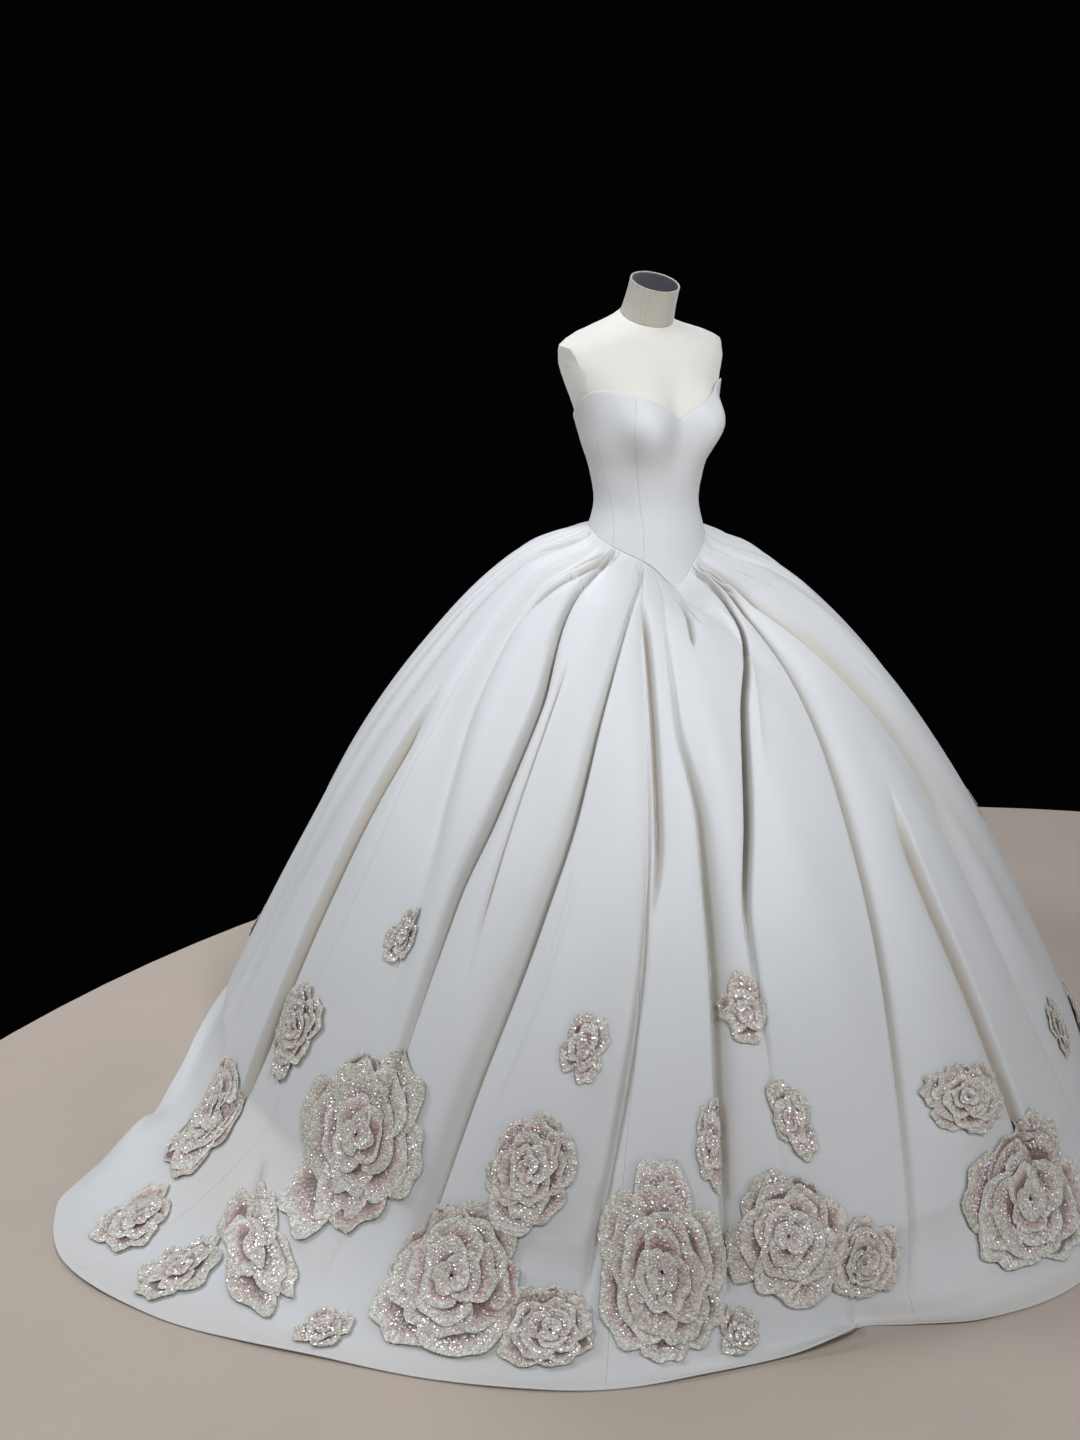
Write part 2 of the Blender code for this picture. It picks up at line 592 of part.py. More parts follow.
def add_neck():
    """The neck, a leaning post whose top has a shallow round recess for the cap."""
    count = 32
    slope = np.linspace(0, 1, 4)
    sides = [ring(NECK_RADIUS_BASE + (NECK_RADIUS_TOP - NECK_RADIUS_BASE) * t, NECK_LENGTH * t, count)
             for t in slope]
    recess = NECK_RADIUS_TOP - NECK_RIM
    floor_of_recess = NECK_LENGTH - CAP_THICKNESS - CAP_BELOW_RIM
    inside = [ring(recess, NECK_LENGTH, count), ring(recess, floor_of_recess, count)]
    points, faces = lathe(on_neck(sides + inside))
    add_solid("form_neck", points, faces, NECK_CLOTH)
    cap = [ring(recess - SEAM_GAP, floor_of_recess + SEAM_GAP + lift, count)
           for lift in (0, CAP_THICKNESS - 0.0005)]
    cap.append(ring(recess - SEAM_GAP - 0.0005, floor_of_recess + SEAM_GAP + CAP_THICKNESS, count))
    points, faces = lathe(on_neck(cap))
    add_solid("form_neck_cap", points, faces, CAP_METAL)


def add_stand():
    """A plain round foot on the floor and the pole that carries the form."""
    rings = [ring(FOOT_RADIUS, 0, 48), ring(FOOT_RADIUS, FOOT_THICKNESS - FOOT_EDGE, 48),
             ring(FOOT_RADIUS - FOOT_EDGE, FOOT_THICKNESS, 48)]
    points, faces = lathe(rings)
    add_solid("form_foot", points, faces, STAND_METAL)
    top = WAIST_HEIGHT + TORSO_RISES[0] - SEAM_GAP
    points, faces = lathe([ring(POLE_RADIUS, FOOT_THICKNESS + SEAM_GAP, 24), ring(POLE_RADIUS, top, 24)])
    add_solid("form_pole", points, faces, STAND_METAL)


# ------------------------------------------------------------------ the bodice
def bodice_seam(name, rise):
    """Angle of a seam at a rise: a column of BODICE_SEAMS, or the centre front or back."""
    if name == "centre_back":
        return np.full(np.shape(rise), 180.0)
    return smooth_curve(BODICE_SEAMS["rise"], BODICE_SEAMS[name], rise)


def add_bodice_panel(name, first, second, side):
    """A panel between two seams, from the basque seam up to the neckline."""
    if first is None:
        edges = [-bodice_seam(second, rise) for rise in (BASQUE["rise"][2], 0.0)]
        width = 2 * abs(edges[1])
    else:
        width = bodice_seam(second, 0.0) - bodice_seam(first, 0.0)
    columns = max(3, round(float(width) / BODICE_COLUMN_DEGREES) + 1)
    rows = []
    for share in BODICE_ROWS:
        angles = np.linspace(0, 1, columns)
        angle = np.zeros(columns)
        for _ in range(4):      # the seam's angle hangs on the rise, and the rise on the angle
            rise = basque_rise(angle) + share * (neckline_rise(angle) - basque_rise(angle))
            low = -bodice_seam(second, rise[0]) if first is None else bodice_seam(first, rise[0])
            high = bodice_seam(second, rise[-1])
            angle = low + (high - low) * angles
        radius = np.hypot(*torso_surface(angle, rise)[:, :2].T)
        gap = np.degrees(SEAM_GAP / 2 / radius)
        angle = angle + np.concatenate([gap[:1], np.zeros(columns - 2), -gap[-1:]])
        rows.append((side * angle, rise))
    angle = np.array([row[0] for row in rows]).ravel()
    rise = np.array([row[1] for row in rows]).ravel()
    add_wall(name, above_torso(angle, rise, BODICE_CLEARANCE + CLOTH),
             above_torso(angle, rise, BODICE_CLEARANCE), grid_faces(len(BODICE_ROWS), columns), SATIN)


def add_bodice():
    add_bodice_panel("bodice_centre_front", None, "princess", 1)
    for side, word in ((-1, "right"), (1, "left")):
        add_bodice_panel("bodice_side_front_" + word, "princess", "side_front", side)
        add_bodice_panel("bodice_side_" + word, "side_front", "side_back", side)
        add_bodice_panel("bodice_side_back_" + word, "side_back", "back", side)
        add_bodice_panel("bodice_back_" + word, "back", "centre_back", side)


# ------------------------------------------------------------------ the skirt
def skirt_columns():
    """Angles of all columns at each level, and each column's (fold name, place after it).

    Columns follow the folds: one lies in each trough, others on its flanks and on the round
    between it and the next.
    """
    levels = np.array(LEVELS)
    radius = np.hypot(*np.moveaxis(plain_skirt(0.0, levels), -1, 0)[:2])
    radius = np.maximum(radius, 0.12)
    angles, names = [], []
    for k, fold in enumerate(FOLDS):
        following = FOLDS[(k + 1) % len(FOLDS)]
        here = fold_angle(fold, levels)
        gap = turn_back(fold_angle(following, levels) - here) % 360
        room = np.radians(gap) * radius
        after = fold_widths(fold, levels)[1]
        before = fold_widths(following, levels)[0]
        plain = fold.name.startswith("hidden") or fold.name in FEW_COLUMNS_AFTER
        steps = (HIDDEN_COLUMN_STEP,) if plain else COLUMN_STEPS
        limits = (0.36,) if plain else (0.19, 0.40)
        places = [0 * room]
        places += [np.minimum(step * after, limit * room) for step, limit in zip(steps, limits)]
        ends = [room - np.minimum(step * before, limit * room) for step, limit in zip(steps, limits)]
        places += [(places[-1] + ends[-1]) / 2]
        places += reversed(ends)
        for place, distance in enumerate(places):
            angles.append(here + np.degrees(distance / radius))
            names.append((fold.name, place))
    return np.array(angles), names


def chart(angle, along):
    """A flat map of the skirt on which its cloth is divided into triangles."""
    return np.radians(angle), np.asarray(along) * SKIRT_LENGTH


def gore_skin(columns):
    """(angle, along) points and triangles of one gore, with the roses' rings worked in."""
    levels = np.array(LEVELS)
    count, rows = columns.shape
    index = {}
    spots = []
    edges = []

    def add_spot(angle, along):
        spots.append((angle, along))
        return len(spots) - 1

    free = ~near_rose(columns, levels[None, :] + 0 * columns, ROSE_CLEAR_MM)
    for i in range(count):
        for j in range(rows):
            on_border = i in (0, count - 1) or j in (0, rows - 1)
            if on_border or free[i, j]:
                index[i, j] = add_spot(columns[i, j], levels[j])
    down_columns = []
    for (i, j), here in index.items():
        for step_i, step_j in ((0, 1), (1, 0)):
            there = index.get((i + step_i, j + step_j))
            on_border = (step_j and i in (0, count - 1)) or (step_i and j in (0, rows - 1))
            if there is None:
                continue
            if on_border:
                edges.append((here, there))
            elif step_j:
                down_columns.append((here, there))
    share = np.linspace(0, 1, 7)[:, None, None]
    ends = np.array(spots)[np.array(down_columns)]
    between = ends[None, :, 0] * (1 - share) + ends[None, :, 1] * share
    crosses = near_rose(between[..., 0], between[..., 1], ROSE_CLEAR_MM / 4).any(axis=0)
    edges += [edge for edge, cut in zip(down_columns, crosses) if not cut]
    middle = columns[count // 2].mean()
    for rose in zip(*ROSES.values()):
        rose = (middle + float(turn_back(rose[0] - middle)), *rose[1:])
        reach = np.degrees(rose[2] / 1000 / 0.7)
        if not columns.min() - reach < rose[0] < columns.max() + reach:
            continue
        for angle, along in rose_rings(rose):
            loop = [add_spot(*spot) for spot in zip(angle, along)]
            if len(loop) > 1:
                edges += [(loop[k], loop[(k + 1) % len(loop)]) for k in range(len(loop))]
    flat = np.stack(chart(*np.array(spots).T), -1)
    corners, _, triangles, *_ = delaunay_2d_cdt([Vector(spot) for spot in flat], edges, [], 0, 1e-5)
    corners = np.array([tuple(corner) for corner in corners])
    borders = [chart(columns[i], levels)[0] for i in (0, count - 1)]
    heights = levels * SKIRT_LENGTH
    kept = []
    for triangle in triangles:
        x, y = corners[list(triangle)].mean(axis=0)
        if np.interp(y, heights, borders[0]) < x < np.interp(y, heights, borders[1]) and 0 < y < heights[-1]:
            kept.append(tuple(triangle))
    used = sorted({k for triangle in kept for k in triangle})
    place = {k: n for n, k in enumerate(used)}
    faces = [tuple(place[k] for k in triangle) for triangle in kept]
    x, y = corners[used].T
    return np.degrees(x), y / SKIRT_LENGTH, faces


def add_gore(name, columns):
    """One gore: the folded cloth, raised outside where a rose lies, plain inside."""
    radius = np.hypot(*np.moveaxis(plain_skirt(columns, np.array(LEVELS)[None, :]), -1, 0)[:2])
    gap = np.degrees(SEAM_GAP / 2 / radius)
    columns = columns.copy()
    columns[0] += gap[0]
    columns[-1] -= gap[-1]
    angle, along, faces = gore_skin(columns)
    normal = outward_normals(skirt_surface, angle, along, 0.15, -0.002)
    point = skirt_surface(angle, along)
    inner = point - normal * CLOTH
    inner[:, 2] = np.maximum(inner[:, 2], FLOOR_GAP)
    outer = point + normal * rose_raise(angle, along)[:, None]
    add_wall(name, outer, inner, faces, SATIN)


def add_skirt():
    angles, names = skirt_columns()
    starts = [names.index((fold, place)) for _, fold, place in SKIRT_SEAMS]
    total = len(angles)
    for k, (name, _, _) in enumerate(SKIRT_SEAMS):
        first = starts[k]
        last = starts[(k + 1) % len(starts)]
        span = [first + n for n in range((last - first) % total + 1)]
        columns = np.array([angles[n % total] + 360 * (n // total) for n in span])
        add_gore(name, columns)


def main():
    clear_scene()
    cuts = add_form_body()
    add_arm_plate("form_arm_plate_right", -1, cuts[0])
    add_arm_plate("form_arm_plate_left", 1, cuts[1])
    add_neck()
    add_stand()
    add_bodice()
    add_skirt()


main()
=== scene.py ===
"""Strapless ball gown of heavy white satin on a linen dress form.

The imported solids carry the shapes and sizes. This script dresses them: the nine panels of the
bodice and the eight gores of the skirt are cut again as fine sheets of cloth with their creases,
the roses near the hem are built petal by petal with their sequins, and the form gets its linen.

Axes: +Z up, the gown faces -Y and the wearer's left is +X. Lengths are metres, or millimetres
where a name ends in _mm. Angles are degrees round the body: 0 at the centre front, growing
towards the wearer's left. "along" runs down the skirt's cloth, from 0 at the waist seam to 1 at
the hem edge. "rise" is a height above the natural waist.
"""
import math
from collections import namedtuple

import bmesh
import bpy
import numpy as np
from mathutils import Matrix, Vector


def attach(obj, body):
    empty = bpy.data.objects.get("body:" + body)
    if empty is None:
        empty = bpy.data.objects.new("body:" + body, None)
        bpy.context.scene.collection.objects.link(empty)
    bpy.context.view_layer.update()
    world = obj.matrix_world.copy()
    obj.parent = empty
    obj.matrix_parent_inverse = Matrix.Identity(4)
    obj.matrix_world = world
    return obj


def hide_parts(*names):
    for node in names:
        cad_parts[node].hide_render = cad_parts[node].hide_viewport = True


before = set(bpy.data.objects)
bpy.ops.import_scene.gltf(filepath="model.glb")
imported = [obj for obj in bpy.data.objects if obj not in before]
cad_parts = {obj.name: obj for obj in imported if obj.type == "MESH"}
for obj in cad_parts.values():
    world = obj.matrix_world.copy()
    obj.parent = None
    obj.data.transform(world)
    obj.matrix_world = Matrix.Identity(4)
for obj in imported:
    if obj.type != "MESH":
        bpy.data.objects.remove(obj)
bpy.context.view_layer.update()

# ------------------------------------------------------------------ driving sizes
WAIST_HEIGHT = 1.25
CLOTH = 0.0024              # satin with its stiff backing
SEAM_GAP = 0.0003
FLOOR_GAP = 0.0002
BODICE_CLEARANCE = 0.003
WAIST_SEAM_DROP = 0.0003    # the skirt's edge starts this far under the bodice's

NECK_RISE = 0.3593
NECK_LENGTH = 0.070
NECK_RADIUS_BASE = 0.0535
NECK_RADIUS_TOP = 0.049
NECK_SET_BACK = 0.010
NECK_LEAN = 20.0
NECK_RIM = 0.0030
NECK_WAISTED = 0.0012       # how far its sides are drawn in half way up
NECK_RIM_PROFILE = ((0, -0.0026), (0.0004, -0.0014), (-0.0002, -0.0003), (-0.0011, 0),
                    (-0.0022, -0.0003))
NECK_SIDES = 96
CAP_THICKNESS = 0.004
CAP_BELOW_RIM = 0.0012
# the cap's rounded edge, from its radius and its top, and the rings within it
CAP_EDGE_PROFILE = ((0, -0.0009), (-0.0003, -0.0003), (-0.0010, 0))
CAP_TOP_RINGS = (0.7, 0.35)

ARM_PLANE_HALF_WIDTH = 0.168
ARM_PLANE_RISE = 0.25
ARM_PLANE_TILT = 15.0
# a plate's outline as a share of the cut's, and how far it lies off the cut
PLATE_PROFILE = ((0.97, 0.0), (0.985, 0.0008), (0.985, 0.0022), (0.965, 0.0031), (0.93, 0.0033),
                 (0.905, 0.0030), (0.895, 0.0026))


def table(columns, rows):
    """A small table as a dictionary of columns."""
    return dict(zip(columns.split(), np.array(rows, float).T))


# ------------------------------------------------------------------ the body of the form
TORSO = table("rise half_width front back squareness set_back tilt", [
    (-0.240, .168, .108, .130, 2.10, .000, 0),
    (-0.165, .151, .103, .121, 2.10, .000, 0),
    (-0.080, .127, .095, .098, 2.10, .000, 0),
    (0.000, .107, .086, .083, 2.10, .000, 0),
    (0.065, .118, .093, .087, 2.10, .002, 0),
    (0.120, .136, .098, .096, 2.15, .004, 0),
    (0.170, .149, .101, .104, 2.20, .008, 0),
    (0.210, .162, .100, .106, 2.20, .014, 0),
    (0.245, .177, .096, .100, 2.15, .020, 0),
    (0.280, .188, .088, .092, 2.15, .024, 0),
    (0.303, .188, .078, .085, 2.20, .026, 3),
    (0.320, .163, .071, .077, 2.25, .026, 7),
    (0.334, .112, .064, .070, 2.20, .022, 12),
    (0.346, .075, .056, .060, 2.10, .016, 16),
    (0.358, .056, .052, .054, 2.00, .010, 20),
])
BUST_ANGLE = 32.0
BUST_RISE = 0.160
BUST_REACH = 0.045
BUST_ANGLE_SPREAD = 21.0
BUST_RISE_SPREAD = 0.068
UNDER_BODICE = 0.004
UNDER_BODICE_FADE = 0.02
FORM_SIDES = 120
FORM_RINGS = 72
FORM_SHARP_ANGLE = 40

# ------------------------------------------------------------------ the bodice
NECKLINE = table("angle rise", [
    (0, .168), (10, .182), (20, .197), (32, .211), (46, .222), (60, .230), (70, .232),
    (80, .220), (90, .200), (115, .165), (145, .146), (180, .140)])
BASQUE = table("angle rise", [
    (0, -.166), (5, -.160), (14, -.146), (25, -.125), (40, -.104), (60, -.085), (82, -.066),
    (105, -.054), (180, -.050)])
BODICE_SEAMS = table("rise princess side_front side_back back", [
    (-0.11, 38, 66, 116, 148),
    (-0.04, 40, 70, 115, 148),
    (0.00, 44, 76, 114, 147),
    (0.07, 46, 80, 113, 146),
    (0.15, 44, 78, 113, 146),
    (0.23, 42, 76, 113, 146),
])

BODICE_MIDDLE = 0.1         # the rise at which a panel's width is counted, and the body's radius
BODICE_RADIUS = 0.13
BODICE_LENGTH = 0.30
BODICE_TALLEST = 0.35
BODICE_SPACING = 0.006
BODICE_TURNS = 5            # rounds in which a seam's angle and its rise are fitted to each other
PUCKER = 0.0003
PUCKER_PLACE = 0.007        # from the seam
PUCKER_WIDTH = 0.004

# ------------------------------------------------------------------ the skirt without folds
SKIRT = table("height front side back", [
    (1.178, .122, .128, .118),
    (1.166, .140, .143, .138),
    (1.154, .166, .169, .163),
    (1.140, .205, .204, .198),
    (1.116, .265, .260, .252),
    (1.076, .325, .318, .306),
    (1.026, .385, .375, .362),
    (0.950, .460, .448, .432),
    (0.850, .545, .530, .512),
    (0.700, .655, .630, .612),
    (0.500, .785, .742, .722),
    (0.300, .900, .850, .825),
    (0.150, .980, .930, .895),
])
HEM = table("angle radius", [
    (-180, 1.03), (-150, 1.00), (-130, 1.00), (-119, 1.01), (-108, 1.06), (-102, 1.12),
    (-98, 1.20), (-94, 1.31), (-87, 1.35), (-77, 1.30), (-69, 1.24), (-61, 1.19), (-52, 1.16),
    (-41, 1.13), (-25, 1.07), (-15, 1.05), (-13.7, 1.025), (-9, 1.055), (-3, 1.10), (9, 1.14),
    (30, 1.12), (45, 1.07), (60, 1.02), (90, 1.00), (130, 1.00), (180, 1.03)])
SWEEP_HEIGHT = 0.150
SWEEP_LENGTH = 0.260
SWEEP_DOWN = 0.78           # the cloth is down on the floor at this share of the sweep
SWEEP_FALL_POWER = 1.5
SWEEP_OUT_POWER = 1.16      # above 1 the cloth leaves the bell straight down and then swings out
WAIST_BLEND = 0.06
BASQUE_BLEND = 0.33

# ------------------------------------------------------------------ the skirt's folds
FOLD_ALONG = (.02, .10, .25, .38, .50, .70, .92)
# depths and angles at those places; half widths towards the right and the left, at the first
# place and at the last; the narrow side of a fold is the crisp edge of the cloth over it; and
# how wide the wall beside the crease lies in the fold's painted shade, and how dark that is
Fold = namedtuple("Fold", "name angles depths_mm right_mm left_mm shade_mm dark")
SEEN_FOLDS = [
    Fold("right hip", (-100, -109, -107, -107.5, -108, -110, -108), (7, 13, 15, 16, 16, 14, 6),
         (6, 40), (9, 60), (2, 3, 4, 4, 4, 3, 2), .2),
    Fold("right side", (-79, -84, -81.5, -77, -74, -73, -73), (3, 10, 20, 21, 16, 9, 3),
         (10, 60), (10, 55), (2, 3, 4, 4, 4, 3, 2), .2),
    Fold("right pleat", (-66, -67, -62.8, -64.5, -67, -68, -67), (20, 34, 54, 56, 40, 16, 3),
         (4, 8), (9, 50), (4, 9, 13, 15, 14, 10, 5), .40),
    Fold("front right", (-38.5, -42.3, -46.3, -48.4, -51.5, -56.5, -60), (9, 18, 30, 40, 46, 46, 18),
         (8, 100), (4, 9), (4, 8, 14, 22, 32, 36, 22), .35),
    Fold("beside the seam", (-38, -37.8, -35.9, -35.2, -35.6, -38.2, -42), (2, 3, 5, 10, 18, 28, 12),
         (7, 66), (4, 9), (3, 5, 7, 10, 14, 16, 10), .5),
    Fold("front long", (-24, -28, -28.5, -26, -26, -26.7, -27), (2, 4, 14, 36, 46, 40, 14),
         (4, 8), (11, 75), (2, 3, 8, 16, 24, 26, 12), .5),
    Fold("deep pleat", (22, 6, -12.2, -17.3, -20.3, -20.3, -19), (14, 44, 88, 78, 20, 2, 0),
         (4, 7), (4, 7), (4, 6, 7, 7, 4, 2, 1), .7),
    Fold("left pleat", (28, 12.5, 5.5, 2.6, .3, -3.7, -7.5), (16, 38, 66, 68, 50, 26, 8),
         (4, 8), (12, 75), (4, 10, 17, 20, 20, 16, 8), .95),
    Fold("left broad", (34, 21, 23.5, 27, 25.5, 25, 26), (14, 38, 72, 64, 32, 8, 1),
         (4, 9), (22, 110), (5, 22, 50, 56, 36, 10, 4), 1.0),
]
HIDDEN_FOLDS = 15
HIDDEN_FIRST_ANGLE = 57.0
HIDDEN_LAST_ANGLE = 246.0
HIDDEN_LEAN = 2.5           # degrees
HIDDEN_DEPTH_VARIES = 0.35
# the hidden folds' pattern; its angles are shares of the lean
HIDDEN_FOLD = Fold("hidden", (0, 1, 1.2, 1.1, .9, .6, .4), (4, 10, 17, 18, 17, 14, 6), (8, 58), (8, 46),
                   (3, 7, 10, 12, 13, 10, 6), .6)
SHADE_DEPTH_MM = 55         # a fold this deep is in full painted shade
CREASE_SHADE_DEPTH_MM = 24
SHADE_PALER_OUT = 0.35      # how much paler the painted shade is at its outer end
STEEP_SHARE = 0.55          # how much of a one-sided fold's depth its steep slope takes
STEEP_SLOPE = 4.2           # and how much narrower it is than the soft slope
FOLD_ONSET = 0.014
FOLD_FADE_HEIGHT = 0.13

# gores in order round the body, and the path of each one's first seam at FOLD_ALONG
GORES = [
    ("skirt_front_right", (-84, -90, -87, -86, -85, -86, -85)),
    ("skirt_front_centre", (-37.5, -37.2, -35.4, -34.7, -35.7, -37.2, -38.5)),
    ("skirt_front_left", (24, 9.5, 3.3, 1.4, -.5, -4.5, -8)),
    ("skirt_side_left", (50, 42, 42, 42, 42, 42, 42)),
    ("skirt_side_back_left", (91, 90, 89, 89, 89.5, 90, 90)),
    ("skirt_back_left", (131, 130, 130, 130, 130, 130.5, 130.5)),
    ("skirt_back_right", (185, 186, 186.5, 186, 186, 185.5, 185.5)),
    ("skirt_side_back_right", (226, 227, 227, 226.5, 226.5, 226, 226)),
]

FLOOR_SWELLS = table("angle along lift_mm right left along_spread", [
    (-97, .955, 34, 6, 6, .030),
    (-101, .985, 40, 3, 4, .022),
    (-76, .930, 22, 4.5, 4.5, .040),
    (-58, .940, 8, 5, 5, .030),
    (-14.7, 1.0, 27, 6, .4, .024),
    (4, .950, 14, 7, 7, .030),
    (-84, 1.0, 6, 6, 5, .008),
    (-66, 1.0, 5, 5, 8, .008),
    (-46, 1.0, 4, 7, 6, .008),
    (-30, 1.0, 6, 5, 8, .008),
    (-6, 1.0, 5, 5, 6, .008),
])

# painted shade above the hem, 0 to 1: where the cloth turns under itself, and low in front
HEM_SHADES = table("angle along share right left along_spread", [
    (-48, .945, .34, 16, 14, .026),
    (-9, .950, .55, 5.5, 9, .020),
    (-70, .900, .22, 6, 8, .030),
    (-28, .950, .22, 8, 8, .022),
    (6, .930, .26, 9, 20, .030),
    (-84, .885, .40, 14, 12, .045),
    (-60, .990, .34, 38, 36, .024),
    (-2, .990, .55, 12, 26, .026),
])

# Creases finer than the folds: where each starts and ends, its angle at five places between,
# its depth in the middle (a ridge is negative), and its half widths to the right and the left.
Crease = namedtuple("Crease", "first last angles depth_mm right_mm left_mm")
CREASES = [
    # the wearer's right side
    Crease(.00, .17, (-67, -71, -76, -80, -83), 18, 4, 13),
    Crease(.00, .05, (-63.5, -65, -67, -69, -71), 10, 2.5, 5),
    Crease(.00, .04, (-60, -61, -62.5, -64, -65), 8, 2.5, 5),
    Crease(.01, .07, (-70, -73, -76, -78, -80), 8, 2.5, 6),
    Crease(.00, .08, (-94, -100, -105, -109, -111), 9, 4, 8),
    Crease(.26, .99, (-92, -93.3, -94, -93.5, -90), 28, 6, 85),
    Crease(.18, .60, (-58, -58.5, -59.5, -60.3, -61), 14, 30, 5),
    Crease(.40, .74, (-46, -47.5, -49.5, -52, -54.5), -4, 6, 9),
    Crease(.30, .80, (-87, -87, -87.5, -88, -88), -5, 60, 34),
    Crease(.86, .99, (-83, -79, -74.5, -70, -66), 20, 22, 6),
    # the front
    Crease(.06, .52, (-37, -35, -34, -33.6, -35), 27, 4, 34),
    Crease(.02, .15, (-12, -14.5, -17, -19, -20.5), 28, 3.5, 12),
    Crease(.01, .10, (-5, -7, -9, -11, -12), 7, 4, 8),
    Crease(.04, .34, (10, 2, -5, -10, -13), -6, 6, 8),
    # the wearer's left side
    Crease(.00, .06, (31, 28.5, 26, 24, 22), 11, 2.5, 5),
    Crease(.00, .045, (25, 22.5, 20, 18, 16), 9, 2.5, 5),
    Crease(.00, .05, (35, 32, 29.5, 27.5, 26), 9, 2.5, 5),
    Crease(.38, .99, (14, 12.2, 12.8, 13.5, 14.5), 28, 55, 6),
    Crease(.30, .75, (33, 34, 35, 35.5, 36), 6, 40, 55),
    Crease(.00, .10, (56, 51, 48, 46, 45), 9, 4, 9),
    Crease(.03, .30, (42, 38, 37, 36, 36), 7, 6, 16),
]
CREASE_FADE = 0.16          # share of a crease's length over which it comes and goes
HIDDEN_CREASES = 22
HIDDEN_CREASES_FROM = 52
HIDDEN_CREASES_TO = 250
# four kinds in turn: start, length down the skirt, depth
HIDDEN_CREASE_KINDS = ((.02, .16, 4.5), (.14, .30, 6), (.30, .38, -5), (.50, .34, 5))
FULLNESS = 0.045            # how far the cloth stands out between two folds, of their distance
FULLNESS_ONSET = 0.12
FULLNESS_END = 0.92
FULLNESS_FADE = 0.5
WAIST_GATHERS = 48          # small gathers held by the waist seam
WAIST_GATHER_MM = 1.1
WAIST_GATHER_ONSET = 0.006
WAIST_GATHER_FADE = 0.055
# waves of the stiff cloth: height, waves round the body, turns down the skirt, and phase
LONG_WAVES_MM = ((0.9, 23, 5, 0.3), (0.7, 37, -7, 2.1), (0.5, 11, 17, 4.0))
LONG_WAVES_ONSET = 0.2

# ------------------------------------------------------------------ edges and rows of the sheets
SHARP_ANGLE = 48            # an edge this steep stays an edge in a smooth mesh
PANEL_SEAM_ROLL = 0.0003    # how far the face drops towards an edge, and from what distance on
GORE_SEAM_ROLL = 0.0006
NECKLINE_ROLL = (0.0010, 0.003)
HEM_ROLL = (0.0008, 0.004)
HEM_THICKNESS = 0.0010      # the least that is left between the two faces on the floor
EDGE_PLACES = (0.0, 0.0012, 0.0034)     # the first rows or columns beside a rolled edge
HEM_PLACES = (0.013, 0.008)             # and the next ones beside the hem
CROWDING = 5.0              # columns stand this many times closer again beside a fold's edge
CROWD_WIDTH = 0.014
ROW_SPACING = (0.017, 0.030)
COLUMN_SPACING = (0.011, 0.024)
CLOSER_AT_WAIST = 0.66      # rows stand closer by this share, over this length
CLOSER_WAIST_LENGTH = 0.35
CLOSER_AT_BEND = 0.62
CLOSER_BEND_PLACE = 0.01    # below the start of the sweep
CLOSER_BEND_WIDTH = 0.05
FINE_COLUMNS = 900          # places in a row from which its columns are chosen

# ------------------------------------------------------------------ the roses
Rose = namedtuple("Rose", "angle along width_mm height_mm turn from_axis")
ROSES = table("angle along width_mm height_mm turn", [
    (-95.5, .872, 165, 290, -70), (-87, .724, 165, 205, 6), (-70.5, .787, 310, 370, -8),
    (-87.5, .948, 105, 150, -80), (-79, .958, 115, 130, -60), (-75, .918, 112, 340, -66),
    (-64, .966, 95, 88, 0), (-54.5, .882, 290, 280, 8), (-44, .915, 180, 175, 0),
    (-48, .760, 175, 230, 10), (-33.5, .850, 235, 370, -6), (-26, .925, 84, 130, 0),
    (-20.5, .822, 215, 265, 12), (-12.5, .866, 145, 175, 0), (5, .733, 215, 145, 20),
    (10, .872, 370, 310, 0), (-74, .560, 70, 130, 15), (-43, .625, 88, 140, 12),
    (-22.5, .583, 100, 135, -8), (-28, .718, 58, 165, 0), (-18.5, .700, 84, 145, -10),
    (31, .760, 85, 130, 8), (46, .866, 240, 240, 0), (54, .530, 88, 135, -10),
    (64, .745, 155, 175, 8), (82, .880, 260, 230, -8), (98, .700, 85, 130, 14),
    (106, .830, 165, 195, 0), (126, .885, 245, 220, 10), (138, .720, 85, 130, -12),
    (156, .845, 180, 200, 6), (176, .890, 245, 215, 0), (188, .715, 85, 130, 10),
    (203, .850, 170, 200, -8), (222, .890, 240, 215, 6), (234, .740, 88, 135, -8),
])
# rings of petals from the outside in; inner and reach are shares of the rose's radius
FULL_ROSE = table("petals inner reach half_angle lift_mm raise_mm spin", [
    (6, .40, 1.00, 40, 1.0, 7.5, 0),
    (5, .30, .78, 50, 3.0, 6.5, 30),
    (4, .22, .59, 62, 5.0, 5.5, 12),
    (3, .12, .41, 80, 6.6, 4.6, 50),
    (2, .02, .24, 110, 8.0, 4.0, 80),
])
SMALL_ROSE = table("petals inner reach half_angle lift_mm raise_mm spin", [
    (4, .20, 1.00, 56, 1.0, 6.0, 20),
    (3, .06, .64, 74, 3.4, 4.6, 70),
    (2, .00, .32, 100, 6.0, 3.6, 10),
])
SMALL_ROSE_MM = 120
OUTER_REACH = (0.74, 1.06)      # the outer petals' uneven reach, of the rose's radius
PETAL_THICKNESS_MM = 0.8
PETAL_COLUMNS = 17
PETAL_ROWS = 7
RIM_CURL = 0.315                # how far the rim bends back down, as a share of its rise
SEQUIN_MM = 5.2                 # on the full roses
PAILLETTE_MM = 7.5              # on the small motifs
SEQUIN_OVERLAP = 1.08           # distance between neighbours, of their width
SPARKLING = 0.50                # share of the petals that are covered; the others have a few
SEQUIN_SIDES = 5
SEQUIN_CUP_MM = 0.7
SEQUIN_LIFT_MM = 0.35
SPARSE = 0.30                   # share of the sequins that the other petals keep
CLEAR_FILM = (0.30, 0.75)       # share of clear film, on the others and on the covered petals
